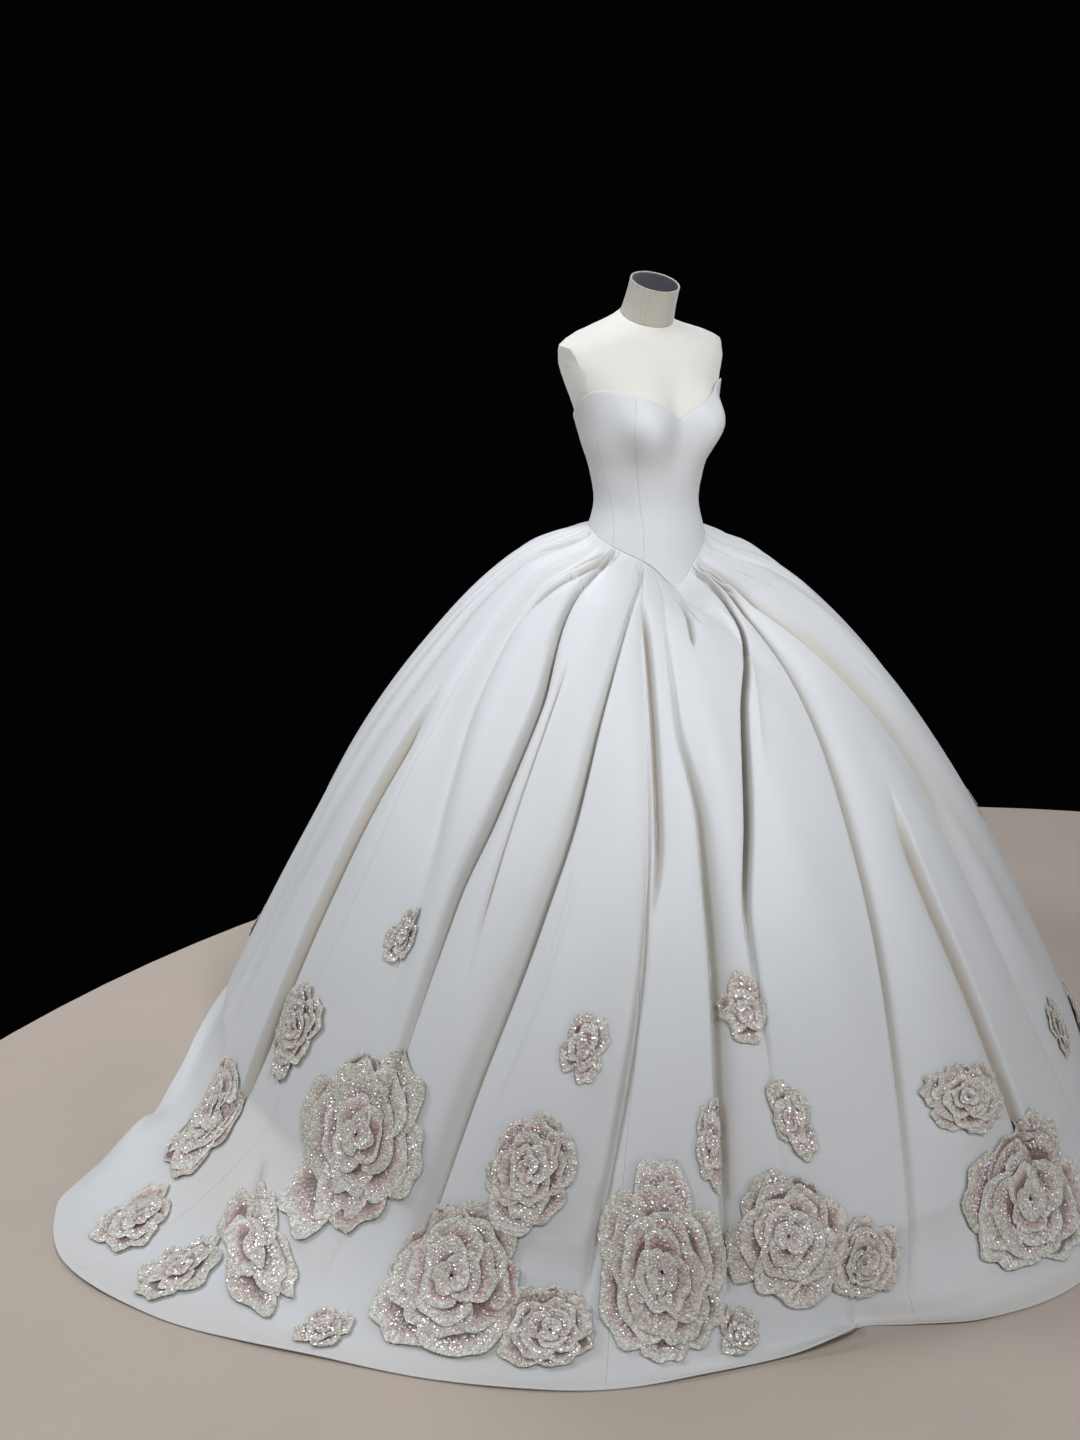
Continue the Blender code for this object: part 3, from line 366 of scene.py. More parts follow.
FILM_OVER = (0.65, 0.30)        # the film's share of a sequin's colour, within a petal and at its rim
SEQUIN_JITTER = (0.025, 0.018)
SEQUIN_TILT = 0.26
AT_RIM = 0.82                   # sequins beyond this place are smaller, by this share
AT_RIM_SMALLER = 0.6
THREAD_PITCH_MM = (1.7, 3.4)    # on the outer petals' rims and on the inner ones'
THREAD_LENGTH_MM = (2.4, 6.5)
THREAD_SUNK_MM = 0.4            # a thread starts this far under the petal's face
THREAD_HALF = 0.00035
THREAD_BEND = 0.55              # how far threads lean aside along the rim
THREAD_RISE = (0.05, 0.25)      # how far up, on average and spread


# ------------------------------------------------------------------ small mathematics
def smooth_curve(knots, values, x):
    """Monotone cubic through the knots, held level beyond the ends."""
    knots, values = np.asarray(knots, float), np.asarray(values, float)
    x = np.clip(x, knots[0], knots[-1])
    step = np.diff(knots)
    slope = np.diff(values) / step
    tangent = np.concatenate([slope[:1], np.zeros(len(knots) - 2), slope[-1:]])
    rising = slope[:-1] * slope[1:] > 0
    total = np.where(rising, slope[:-1] + slope[1:], 1.0)
    tangent[1:-1] = np.where(rising, 2 * slope[:-1] * slope[1:] / total, 0.0)
    k = np.clip(np.searchsorted(knots, x) - 1, 0, len(knots) - 2)
    t = (x - knots[k]) / step[k]
    return ((1 + 2 * t) * (1 - t) ** 2 * values[k] + t * (1 - t) ** 2 * step[k] * tangent[k]
            + t * t * (3 - 2 * t) * values[k + 1] + t * t * (t - 1) * step[k] * tangent[k + 1])


def read(columns, key, name, x):
    """Column name of a table, at the places x of its column key."""
    return smooth_curve(columns[key], columns[name], x)


def read_end(columns, key, turn, x):
    """Column front of a table where the turn in radians faces forward, and else column back."""
    return np.where(np.cos(turn) > 0, read(columns, key, "front", x), read(columns, key, "back", x))


def ease(x):
    """0 below 0, 1 above 1, with level ends: 3x^2 - 2x^3 between."""
    x = np.clip(x, 0.0, 1.0)
    return x * x * (3 - 2 * x)


def turn_back(angle):
    """The same angle between -180 and 180."""
    return (np.asarray(angle, float) + 180) % 360 - 180


def unit(vectors):
    """The same directions with a length of 1."""
    return vectors / np.linalg.norm(vectors, axis=-1, keepdims=True)


def normals_by_steps(surface, u, v, step_u, step_v):
    """Unit normals of surface(u, v): the cross product of its slopes along u and along v."""
    across = surface(u + step_u, v) - surface(u - step_u, v)
    up = surface(u, v + step_v) - surface(u, v - step_v)
    return unit(np.cross(across, up))


def grid_normals(point):
    """Unit normals of a grid whose rows run down and whose columns run to the wearer's left."""
    return unit(np.cross(np.gradient(point, axis=0), np.gradient(point, axis=1)))


def round_from(path, angle, radius):
    """Metres round the body from a path's angle, growing towards the wearer's left."""
    return np.radians(turn_back(angle - path)) * radius


def bells(columns, angle, along):
    """For each row of a table, its height times a bell: exp(-round^2 - down^2).

    round is the distance in the row's half widths to the right or left, down in its spread.
    """
    for centre, at, height, right, left, spread in zip(*columns.values()):
        off = turn_back(angle - centre)
        off = off / np.where(off < 0, right, left)
        yield height * np.exp(-off ** 2 - ((along - at) / spread) ** 2)


# ------------------------------------------------------------------ surfaces
def torso_surface(angle, rise):
    """Section by section: a rounded ellipse, with the bust as two soft mounds.

    The radius of a section is (side^p + ahead^p)^(-1/p), plus a bell curve at each mound.
    """
    angle, rise = np.broadcast_arrays(np.asarray(angle, float), np.asarray(rise, float))
    turn = np.radians(angle)
    power, half_width, set_back, tilt = [read(TORSO, "rise", name, rise) for name in
                                         ("squareness", "half_width", "set_back", "tilt")]
    side = np.abs(np.sin(turn)) / half_width
    ahead = np.abs(np.cos(turn)) / read_end(TORSO, "rise", turn, rise)
    radius = (side ** power + ahead ** power) ** (-1 / power)
    for centre in (-BUST_ANGLE, BUST_ANGLE):
        off_centre = turn_back(angle - centre) / BUST_ANGLE_SPREAD
        off_height = (rise - BUST_RISE) / BUST_RISE_SPREAD
        radius = radius + BUST_REACH * np.exp(-off_centre ** 2 - off_height ** 2)
    tilt = np.radians(tilt)
    y = -radius * np.cos(turn)
    return np.stack([radius * np.sin(turn), y * np.cos(tilt) + set_back,
                     WAIST_HEIGHT + rise + y * np.sin(tilt)], -1)


def above_torso(angle, rise, distance):
    """Points at a distance outside the torso."""
    normal = normals_by_steps(torso_surface, angle, rise, 0.5, 0.002)
    return torso_surface(angle, rise) + normal * distance


def basque_rise(angle):
    """Where the bodice ends and the skirt begins."""
    return read(BASQUE, "angle", "rise", np.abs(turn_back(angle)))


def neckline_rise(angle):
    """The bodice's upper edge, a sweetheart neckline."""
    return read(NECKLINE, "angle", "rise", np.abs(turn_back(angle)))


STEEP = np.hypot(np.diff(SKIRT["height"]), np.diff(SKIRT["side"]))
SKIRT_LENGTH = STEEP.sum() + SWEEP_LENGTH
SKIRT["along"] = np.concatenate([[0], np.cumsum(STEEP)]) / SKIRT_LENGTH
SWEEP_START = SKIRT["along"][-1]

ROUND = np.linspace(-180, 180, 721)
WAIST_EDGE = above_torso(ROUND, basque_rise(ROUND), BODICE_CLEARANCE + 0.95 * CLOTH)
WAIST_RADIUS = np.hypot(WAIST_EDGE[:, 0], WAIST_EDGE[:, 1])


def plain_skirt(angle, along):
    """The skirt with no folds: a bell, its hem swung out on the floor, its waist on the basque.

    The radius is read from the profiles at the front, side and back and blended by the angle's
    cosine to the power 1.5. Near the floor it swings out to the hem's radius while the height
    falls, each by a power of the share of the sweep.
    """
    turn = np.radians(angle)

    def bell_radius(along):
        """The bell's own radius, with neither sweep nor basque."""
        side = read(SKIRT, "along", "side", along)
        ahead = read_end(SKIRT, "along", turn, along)
        return side + (ahead - side) * np.abs(np.cos(turn)) ** 1.5

    sweep = np.clip((along - SWEEP_START) / (1 - SWEEP_START), 0, 1)
    radius = bell_radius(along)
    hem = read(HEM, "angle", "radius", turn_back(angle))
    radius = radius + (hem - radius) * sweep ** SWEEP_OUT_POWER
    falling = np.clip(1 - sweep / SWEEP_DOWN, 0, 1) ** SWEEP_FALL_POWER
    height = np.where(sweep > 0, SWEEP_HEIGHT * falling, read(SKIRT, "along", "height", along))
    edge_radius, edge_height = [np.interp(turn_back(angle), ROUND, edge)
                                for edge in (WAIST_RADIUS, WAIST_EDGE[:, 2])]
    radius = radius + (edge_radius - bell_radius(0.0)) * (1 - ease(along / WAIST_BLEND))
    dip = SKIRT["height"][0] - edge_height + WAIST_SEAM_DROP
    height = height - dip * (1 - ease(along / BASQUE_BLEND))
    return np.stack([radius * np.sin(turn), -radius * np.cos(turn), height], -1)


def hidden_folds():
    """Pleats like the others round the left side and the back, a little uneven."""
    folds = []
    for k, angle in enumerate(np.linspace(HIDDEN_FIRST_ANGLE, HIDDEN_LAST_ANGLE, HIDDEN_FOLDS)):
        lean = HIDDEN_LEAN * math.sin(2.1 * k)
        deep = 1 + HIDDEN_DEPTH_VARIES * math.sin(1.7 * k + 0.8)
        folds.append(HIDDEN_FOLD._replace(
            name="hidden %d" % k,
            angles=tuple(angle + lean * share for share in HIDDEN_FOLD.angles),
            depths_mm=tuple(depth * deep for depth in HIDDEN_FOLD.depths_mm),
            shade_mm=tuple(wide * deep for wide in HIDDEN_FOLD.shade_mm)))
    return folds


FOLDS = SEEN_FOLDS + hidden_folds()


def hidden_creases():
    """Creases like the seen ones round the left side and the back, between the folds."""
    creases = []
    span = HIDDEN_CREASES_TO - HIDDEN_CREASES_FROM
    for k in range(HIDDEN_CREASES):
        start, length, depth = HIDDEN_CREASE_KINDS[k % len(HIDDEN_CREASE_KINDS)]
        angle = HIDDEN_CREASES_FROM + span * (k + 0.5) / HIDDEN_CREASES + 3 * math.sin(4.7 * k)
        first = start + 0.04 * math.sin(3.1 * k)
        last = first + length + 0.05 * math.sin(1.9 * k + 1)
        lean = 2.0 * math.sin(2.7 * k)
        angles = tuple(angle + lean * share for share in (0, .5, .8, .95, 1))
        depth = depth * (1 + 0.3 * math.sin(5.3 * k))
        wide = 7 + 44 * first
        creases.append(Crease(max(first, 0), last, angles, depth, wide, wide * 1.5))
    return creases


def fold_angle(fold, along):
    """The path of a fold's crease down the skirt."""
    return smooth_curve(FOLD_ALONG, fold.angles, along)


def fold_widths(fold, along):
    """Half widths in metres towards the right and towards the left."""
    return [np.interp(along, (FOLD_ALONG[0], FOLD_ALONG[-1]), ends) / 1000
            for ends in (fold.right_mm, fold.left_mm)]


def trough(across, right, left):
    """Depth across a fold, from 1 at its crease to 0: exp(-part^power), part in half widths.

    The power is 2, a bell. On the wide side of a one-sided fold the cloth rises from a crisp
    crease in two slopes: a steep one near it and, further out, a long soft one.
    """
    narrow, wide = np.minimum(right, left), np.maximum(right, left)
    wide_side = ((across < 0) == (right > left)) & (wide > 1.6 * narrow)
    part = np.abs(across) / np.where(across < 0, right, left)
    steep = np.exp(-(STEEP_SLOPE * part) ** 1.5)
    soft = np.exp(-part ** 1.4)
    return np.where(wide_side, STEEP_SHARE * steep + (1 - STEEP_SHARE) * soft, np.exp(-part ** 2))


def fold_depth(angle, along, radius):
    """How far the cloth lies below its plain form: the sum of all troughs."""
    depth = 0.0
    for fold in FOLDS:
        across = round_from(fold_angle(fold, along), angle, radius)
        deep = smooth_curve(FOLD_ALONG, fold.depths_mm, along)
        depth = depth + deep / 1000 * trough(across, *fold_widths(fold, along))
    return depth * ease(along / FOLD_ONSET)


ALL_CREASES = CREASES + hidden_creases()


def crease_course(crease, along):
    """A crease's path, and the share of its length from 0 at its start to 1 at its end."""
    share = (along - crease.first) / (crease.last - crease.first)
    return smooth_curve((0, .25, .5, .75, 1), crease.angles, share), share


def crease_strength(share):
    """A crease eases in from its start, and out more slowly towards its end."""
    return ease(share / CREASE_FADE) * ease((1 - share) / (2 * CREASE_FADE))


def crease_depth(angle, along, radius):
    """The sum of the creases' troughs and ridges."""
    depth = 0.0
    for crease in ALL_CREASES:
        path, share = crease_course(crease, along)
        shape = trough(round_from(path, angle, radius), crease.right_mm / 1000, crease.left_mm / 1000)
        depth = depth + crease.depth_mm / 1000 * crease_strength(share) * shape
    return depth


def fold_shade(angle, along, radius):
    """How far a place lies in painted shade, from 0 to 1: the deepest of all folds at it.

    The shade covers the wall from the crease out to the fold's shade width and ends there crisply,
    as exp(-part^4); it is full where the fold is deep and paler further out. A crease's shade is
    a bell across it.
    """
    shade = np.zeros(np.broadcast(angle, along).shape)
    for fold in FOLDS:
        across = 1000 * round_from(fold_angle(fold, along), angle, radius)
        right, left = [1000 * width for width in fold_widths(fold, along)]
        wide = smooth_curve(FOLD_ALONG, fold.shade_mm, along)
        deep = np.clip(smooth_curve(FOLD_ALONG, fold.depths_mm, along) / SHADE_DEPTH_MM, 0, 1)
        to_right = np.where(right >= left, wide, np.minimum(right, wide))
        to_left = np.where(left >= right, wide, np.minimum(left, wide))
        part = np.abs(across) / np.where(across < 0, to_right, to_left)
        wall = np.exp(-part ** 4) * (1 - SHADE_PALER_OUT * np.clip(part, 0, 1))
        shade = np.maximum(shade, fold.dark * deep * wall)
    for crease in ALL_CREASES:
        path, share = crease_course(crease, along)
        part = 1000 * round_from(path, angle, radius) / min(crease.right_mm, crease.left_mm)
        deep = np.clip(crease.depth_mm / CREASE_SHADE_DEPTH_MM, 0, 1)
        shade = np.maximum(shade, deep * crease_strength(share) * np.exp(-part ** 2))
    for bell in bells(HEM_SHADES, angle, along):
        shade = np.maximum(shade, bell)
    return shade * ease(along / FOLD_ONSET)


def fullness(angle, along, radius):
    """The cloth's rounding between neighbouring folds: a share of their distance, sine-shaped.

    It comes in below the waist seam and dies out towards the hem, where the folds open.
    """
    height = 0.0
    for fold, following in zip(FOLDS, FOLDS[1:] + FOLDS[:1]):
        start = fold_angle(fold, along)
        gap = turn_back(fold_angle(following, along) - start)
        share = np.clip(turn_back(angle - start) / gap, 0, 1)
        height = height + np.radians(gap) * radius * np.sin(math.pi * share) ** 1.4
    fade = ease(along / FULLNESS_ONSET) * ease((FULLNESS_END - along) / FULLNESS_FADE)
    return FULLNESS * height * fade


def gathers(angle, along):
    """Small gathers under the waist seam: a wave round the waist whose spacing drifts."""
    turn = np.radians(angle)
    drift = 2.4 * np.sin(3 * turn + 0.7) + 1.5 * np.sin(7 * turn + 2.0)
    wave = np.sin(WAIST_GATHERS * turn + drift) * (0.7 + 0.3 * np.sin(5 * turn + 1.1))
    fade = ease(along / WAIST_GATHER_ONSET) * (1 - ease(along / WAIST_GATHER_FADE))
    return WAIST_GATHER_MM / 1000 * wave * fade


def unevenness(angle, along):
    """What stiff satin never quite hangs out: a few long slow waves, 2 mm high at most."""
    wave = sum(height * np.sin(around * np.radians(angle) + down * along + phase)
               for height, around, down, phase in LONG_WAVES_MM)
    return wave / 1000 * ease(along / LONG_WAVES_ONSET)


def skirt_surface(angle, along):
    """The outer face of the skirt's cloth, with its folds and creases."""
    plain = plain_skirt(angle, along)
    normal = normals_by_steps(plain_skirt, angle, along, 0.5, -0.004)
    radius = np.hypot(plain[..., 0], plain[..., 1])
    fade = ease(plain[..., 2] / FOLD_FADE_HEIGHT)
    depth = (fold_depth(angle, along, radius) + crease_depth(angle, along, radius)
             + unevenness(angle, along) - fullness(angle, along, radius)) * fade
    depth = depth + gathers(angle, along)
    point = plain - normal * depth[..., None]
    swell = sum(bells(FLOOR_SWELLS, angle, along)) / 1000
    on_floor = (CLOTH + 2 * FLOOR_GAP) * (1 - fade)
    point[..., 2] = np.maximum(point[..., 2], 0) + on_floor + swell
    return point


# ------------------------------------------------------------------ meshes
def add_mesh(name, points, faces, finish, uv=None, tint_and_shade=None, smooth=True):
    """A mesh object at the origin. uv and tint hold one row for each point; the skirt's tint is painted
    shade.
    """
    mesh = bpy.data.meshes.new(name)
    if isinstance(faces, np.ndarray):
        count, sides = faces.shape
        mesh.vertices.add(len(points))
        mesh.vertices.foreach_set("co", np.asarray(points, np.float32).ravel())
        mesh.loops.add(count * sides)
        mesh.loops.foreach_set("vertex_index", faces.astype(np.int32).ravel())
        mesh.polygons.add(count)
        mesh.polygons.foreach_set("loop_start", np.arange(0, count * sides, sides, dtype=np.int32))
        mesh.update(calc_edges=True)
    else:
        mesh.from_pydata([tuple(map(float, point)) for point in points], [], faces)
    mesh.validate()
    corners = np.zeros(len(mesh.loops), np.int32)
    mesh.loops.foreach_get("vertex_index", corners)
    if uv is not None:
        layer = mesh.uv_layers.new(name="cloth")
        layer.uv.foreach_set("vector", np.asarray(uv, np.float32)[corners].ravel())
    if tint_and_shade is not None:
        colours = mesh.color_attributes.new("tint_and_shade", "FLOAT_COLOR", "POINT")
        full = np.ones((len(points), 4), np.float32)
        full[:, :3] = tint_and_shade
        colours.data.foreach_set("color", full.ravel())
    if smooth:
        mesh.shade_smooth()
        mesh.set_sharp_from_angle(angle=math.radians(SHARP_ANGLE))
    mesh.materials.append(finish)
    made = bpy.data.objects.new(name, mesh)
    bpy.context.scene.collection.objects.link(made)
    return made


def close_grid(outer, inner, coarse=1):
    """Points and faces of a sheet: an outer and an inner grid, joined round all four edges.

    The inner grid keeps every row and column, or with coarse=2 every second one, and then each
    face of the rim spans two of the outer grid's edges.
    """
    inner = inner[::coarse, ::coarse]
    top = np.arange(outer[..., 0].size).reshape(outer.shape[:2])
    back = np.arange(inner[..., 0].size).reshape(inner.shape[:2]) + top.size
    cells = [np.stack([grid[:-1, :-1], grid[1:, :-1], grid[1:, 1:], grid[:-1, 1:]], -1).reshape(-1, 4)
             for grid in (top, back)]
    cells[1] = cells[1][:, [0, 3, 2, 1]]
    edge, under = [np.concatenate([grid[:, 0], grid[-1, 1:], grid[-2::-1, -1], grid[0, -2:0:-1]])
                   for grid in (top, back)]
    steps = [np.roll(edge, -k)[::coarse] for k in range(coarse, -1, -1)]
    rim = np.stack([*steps, under, np.roll(under, -1)], -1)
    points = np.concatenate([outer.reshape(-1, 3), inner.reshape(-1, 3)])
    if coarse == 1:
        return points, np.concatenate([*cells, rim])
    return points, [face for part in (*cells, rim) for face in part.tolist()]


def lathe(rings):
    """Points and faces of a closed body through rings of equal count, its ends filled."""
    count = len(rings[0])
    faces = [(j * count + i, j * count + (i + 1) % count,
              (j + 1) * count + (i + 1) % count, (j + 1) * count + i)
             for j in range(len(rings) - 1) for i in range(count)]
    last = (len(rings) - 1) * count
    faces += [tuple(range(count - 1, -1, -1)), tuple(range(last, last + count))]
    return np.concatenate(rings), faces


def ring(radius, height, count):
    """A circle of points round +Z."""
    turn = np.arange(count) * 2 * math.pi / count
    return np.stack([radius * np.cos(turn), radius * np.sin(turn), np.full(count, height)], -1)


def edge_steps(length, spacing):
    """An odd number of distances between two edges: close together at both, even between."""
    near = np.array(EDGE_PLACES)
    inside = np.linspace(near[-1], length - near[-1], 2 * max(2, round(length / spacing / 2)) + 1)
    return np.concatenate([near[:-1], inside, length - near[-2::-1]])


def edge_roll(distance, drop, width=0.0034):
    """How far the face of a sheet drops towards its sewn or folded edge."""
    return drop * np.clip(1 - distance / width, 0, 1) ** 2


# ------------------------------------------------------------------ finishes
# painted shade: the satin's colour is multiplied by this where folds, creases and the hem lie in full
# shade
PAINTED_FOLD_SHADE = np.array([0.79, 0.70, 0.57])     # light between two walls of satin, dim and warm
BANDS_1_MM_APART = 314                         # a wave texture's scale: 1000 * 2 pi / 20
LINEN_DRAWN_MM = 6.911


def linear(hex_colour):
    """A hex sRGB colour as linear red, green, blue and 1."""
    channels = [int(hex_colour[k:k + 2], 16) / 255 for k in (1, 3, 5)]
    return (*(c / 12.92 if c <= 0.04045 else ((c + 0.055) / 1.055) ** 2.4 for c in channels), 1.0)


def feed(tree, node, sources):
    """Gives sockets, by name or by number, another node's output or a plain value."""
    for socket, source in sources.items():
        if isinstance(source, bpy.types.NodeSocket):
            tree.links.new(source, node.inputs[socket])
        else:
            node.inputs[socket].default_value = source


def add_node(tree, kind, sources=None, **values):
    """Adds a node. Its properties and sockets are set by name, and sources feeds its sockets."""
    made = tree.nodes.new(kind)
    for name, value in values.items():
        if hasattr(made, name):
            setattr(made, name, value)
        else:
            made.inputs[name.replace("_", " ")].default_value = value
    feed(tree, made, sources or {})
    return made


def new_finish(name, **shader_values):
    """A material with one Principled shader. Returns the material, its tree and the shader."""
    made = bpy.data.materials.new(name)
    made.use_nodes = True
    shader = made.node_tree.nodes["Principled BSDF"]
    for socket, value in shader_values.items():
        shader.inputs[socket.replace("_", " ")].default_value = value
    return made, made.node_tree, shader


def duchess_satin():
    """Heavy silk satin: a smooth cool white face with a soft wide gloss and faint slubs.

    Its threads are 0.1 mm apart, too fine to show, so the twill line is drawn 3.4 mm apart.
    """
    made, tree, shader = new_finish(
        "duchess_satin", Roughness=0.52, Sheen_Weight=0.2, Sheen_Roughness=0.4,
        Specular_IOR_Level=0.34)
    cloth = add_node(tree, "ShaderNodeUVMap", uv_map="cloth").outputs["UV"]
    slub_space = add_node(tree, "ShaderNodeMapping", {"Vector": cloth}, Scale=(420, 26, 1))
    slubs = add_node(tree, "ShaderNodeTexNoise", {"Vector": slub_space.outputs[0]},
                     Scale=1.0, Detail=3.0, Roughness=0.6)
    twill = add_node(tree, "ShaderNodeTexWave", {"Vector": cloth}, wave_type="BANDS",
                     bands_direction="DIAGONAL", Scale=130.0, Distortion=0.6, Detail=1.0)
    weave = add_node(tree, "ShaderNodeMix", {2: slubs.outputs["Fac"], 3: twill.outputs["Fac"]},
                     data_type="FLOAT", Factor=0.35)
    bump = add_node(tree, "ShaderNodeBump", {"Height": weave.outputs[0]}, Strength=0.12,
                    Distance=0.0006)
    patches = add_node(tree, "ShaderNodeTexNoise", {"Vector": cloth}, Scale=3.2, Detail=2.0)
    tone = add_node(tree, "ShaderNodeMix", {"Factor": patches.outputs["Fac"], 6: linear("#ceccc5"),
                                            7: linear("#d6d4cd")}, data_type="RGBA")
    # painted shade: the gores carry their folds' painted shade in this colour attribute; the bodice
    # carries 1
    shade = add_node(tree, "ShaderNodeAttribute", attribute_name="tint_and_shade").outputs["Color"]
    shaded = add_node(tree, "ShaderNodeVectorMath", {0: tone.outputs[2], 1: shade},
                      operation="MULTIPLY")
    feed(tree, shader, {"Normal": bump.outputs[0], "Base Color": shaded.outputs[0]})
    return made


def linen(name, warp, weft):
    """Plain-woven linen, dry and matt, its threads a little uneven.

    The threads are 0.5 mm apart, too fine to show, so they are drawn 6.9 mm apart.
    """
    made, tree, shader = new_finish(name, Roughness=0.86, Sheen_Weight=0.35, Sheen_Roughness=0.5,
                                    Specular_IOR_Level=0.25)
    place = add_node(tree, "ShaderNodeTexCoord").outputs["Object"]
    across, down = [add_node(tree, "ShaderNodeTexWave", {"Vector": place}, bands_direction=axis,
                             Scale=BANDS_1_MM_APART / LINEN_DRAWN_MM, Distortion=1.5, Detail=2.0,
                             Detail_Scale=3.0).outputs["Fac"] for axis in "XZ"]
    both = add_node(tree, "ShaderNodeMath", {0: across, 1: down}, operation="MULTIPLY")
    fleck = add_node(tree, "ShaderNodeTexNoise", {"Vector": place}, Scale=260.0, Detail=4.0)
    height = add_node(tree, "ShaderNodeMath", {0: both.outputs[0], 1: fleck.outputs["Fac"]},
                      operation="ADD")
    bump = add_node(tree, "ShaderNodeBump", {"Height": height.outputs[0]}, Strength=0.14,
                    Distance=0.0006)
    tone = add_node(tree, "ShaderNodeMix", {"Factor": height.outputs[0], 6: linear(weft),
                                            7: linear(warp)}, data_type="RGBA")
    feed(tree, shader, {"Normal": bump.outputs[0], "Base Color": tone.outputs[2]})
    return made


def lacquered_metal(name, colour, rough, metallic):
    """Sheet metal under a thin lacquer: an even colour, a fine grain and a little wear in its gloss."""
    made, tree, shader = new_finish(name, Metallic=metallic)
    place = add_node(tree, "ShaderNodeTexCoord").outputs["Object"]
    grain = add_node(tree, "ShaderNodeTexNoise", {"Vector": place}, Scale=900.0, Detail=4.0)
    wear = add_node(tree, "ShaderNodeTexNoise", {"Vector": place}, Scale=22.0, Detail=5.0)
    roughness = add_node(tree, "ShaderNodeMapRange", {"Value": wear.outputs["Fac"]},
                         To_Min=rough - 0.08, To_Max=rough + 0.12)
    bump = add_node(tree, "ShaderNodeBump", {"Height": grain.outputs["Fac"]}, Strength=0.08,
                    Distance=0.0003)
    worn = (*(0.82 * channel for channel in linear(colour)[:3]), 1.0)
    tone = add_node(tree, "ShaderNodeMix", {"Factor": wear.outputs["Fac"], 6: worn,
                                            7: linear(colour)}, data_type="RGBA")
    feed(tree, shader, {"Roughness": roughness.outputs[0], "Normal": bump.outputs[0],
                        "Base Color": tone.outputs[2]})
    return made


def beaded_organza():
    """Petals of stiffened organza sewn over with seed beads; the tint is their colour, with painted
    shade under and between petals.

    The beads are 2 mm across. They are drawn 4.5 mm apart, each with its own tone, so that the
    sewn-over face still looks grainy from a few metres away.
    """
    made, tree, shader = new_finish("beaded_organza", Roughness=0.50, Sheen_Weight=0.3,
                                    Specular_IOR_Level=0.55)
    tint_and_shade = add_node(tree, "ShaderNodeAttribute", attribute_name="tint_and_shade").outputs["Color"]
    place = add_node(tree, "ShaderNodeTexCoord").outputs["Object"]
    beads = add_node(tree, "ShaderNodeTexVoronoi", {"Vector": place}, Scale=220.0)
    bump = add_node(tree, "ShaderNodeBump", {"Height": beads.outputs["Distance"]}, Strength=0.8,
                    Distance=0.0022, invert=True)
    own = add_node(tree, "ShaderNodeSeparateColor", {"Color": beads.outputs["Color"]})
    bead_tone = add_node(tree, "ShaderNodeMapRange", {"Value": own.outputs[0]}, To_Min=0.62,
                         To_Max=1.22)
    toned = add_node(tree, "ShaderNodeVectorMath", {0: tint_and_shade, 3: bead_tone.outputs[0]},
                     operation="SCALE")
    feed(tree, shader, {"Normal": bump.outputs[0], "Base Color": toned.outputs[0]})
    return made


def cupped_sequins():
    """Pressed film sequins, glossy on the face; each carries its own tint."""
    made, tree, shader = new_finish("cupped_sequins", Roughness=0.24, Metallic=0.2,
                                    Specular_IOR_Level=0.8, Coat_Weight=0.9, Coat_Roughness=0.08)
    tint_and_shade = add_node(tree, "ShaderNodeAttribute", attribute_name="tint_and_shade").outputs["Color"]
    place = add_node(tree, "ShaderNodeTexCoord").outputs["Object"]
    flecks = add_node(tree, "ShaderNodeTexNoise", {"Vector": place}, Scale=700.0, Detail=2.0)
    shade = add_node(tree, "ShaderNodeMapRange", {"Value": flecks.outputs["Fac"]}, To_Min=0.82,
                     To_Max=1.12)
    toned = add_node(tree, "ShaderNodeVectorMath", {0: tint_and_shade, 3: shade.outputs[0]}, operation="SCALE")
    feed(tree, shader, {"Base Color": toned.outputs[0]})
    return made


SATIN = duchess_satin()
FORM_LINEN = linen("form_linen", "#dfd9c9", "#dad4c4")
NECK_LINEN = linen("neck_linen", "#b5ae9c", "#aaa290")
# painted shade: the arm plates' linen is made far darker than the form's for the shade on the shoulder
# cuts
PLATE_LINEN_PAINTED_SHADE = linen("plate_linen_painted_shade", "#6a6149", "#5f573f")
CAP_METAL = lacquered_metal("grey_lacquer", "#4c4648", 0.46, 0.3)
STAND_STEEL = lacquered_metal("stand_steel", "#8a8b8d", 0.34, 0.9)
PETALS = beaded_organza()
SEQUINS = cupped_sequins()


def settle(piece, slot, *nodes):
    """The piece rides on the one body and stands for the nodes, which are hidden; its slot is not used.
    """
    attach(piece, "root")
    if nodes:
        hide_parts(*nodes)


def add_turned(name, rings, finish, slot, node):
    """A closed body through rings of points, its faces turned outwards, in place of a solid."""
    piece = add_mesh(name, *lathe(rings), finish)
    shape = bmesh.new()
    shape.from_mesh(piece.data)
    bmesh.ops.recalc_face_normals(shape, faces=shape.faces)
    shape.to_mesh(piece.data)
    shape.free()
    settle(piece, slot, node)


# ------------------------------------------------------------------ the dress form
def arm_plane(side):
    """A point and the outward normal of the flat cut at the shoulder, side is -1 or 1."""
    tilt = math.radians(ARM_PLANE_TILT)
    point = Vector((side * ARM_PLANE_HALF_WIDTH, 0, WAIST_HEIGHT + ARM_PLANE_RISE))
    return point, Vector((side * math.cos(tilt), 0, -math.sin(tilt)))


def form_surface(angle, rise):
    """The form's own surface, pressed in a little where the bodice covers it."""
    pressed = UNDER_BODICE * ease((neckline_rise(angle) - rise) / UNDER_BODICE_FADE - 0.25)
    return above_torso(angle, rise, -pressed[..., None])


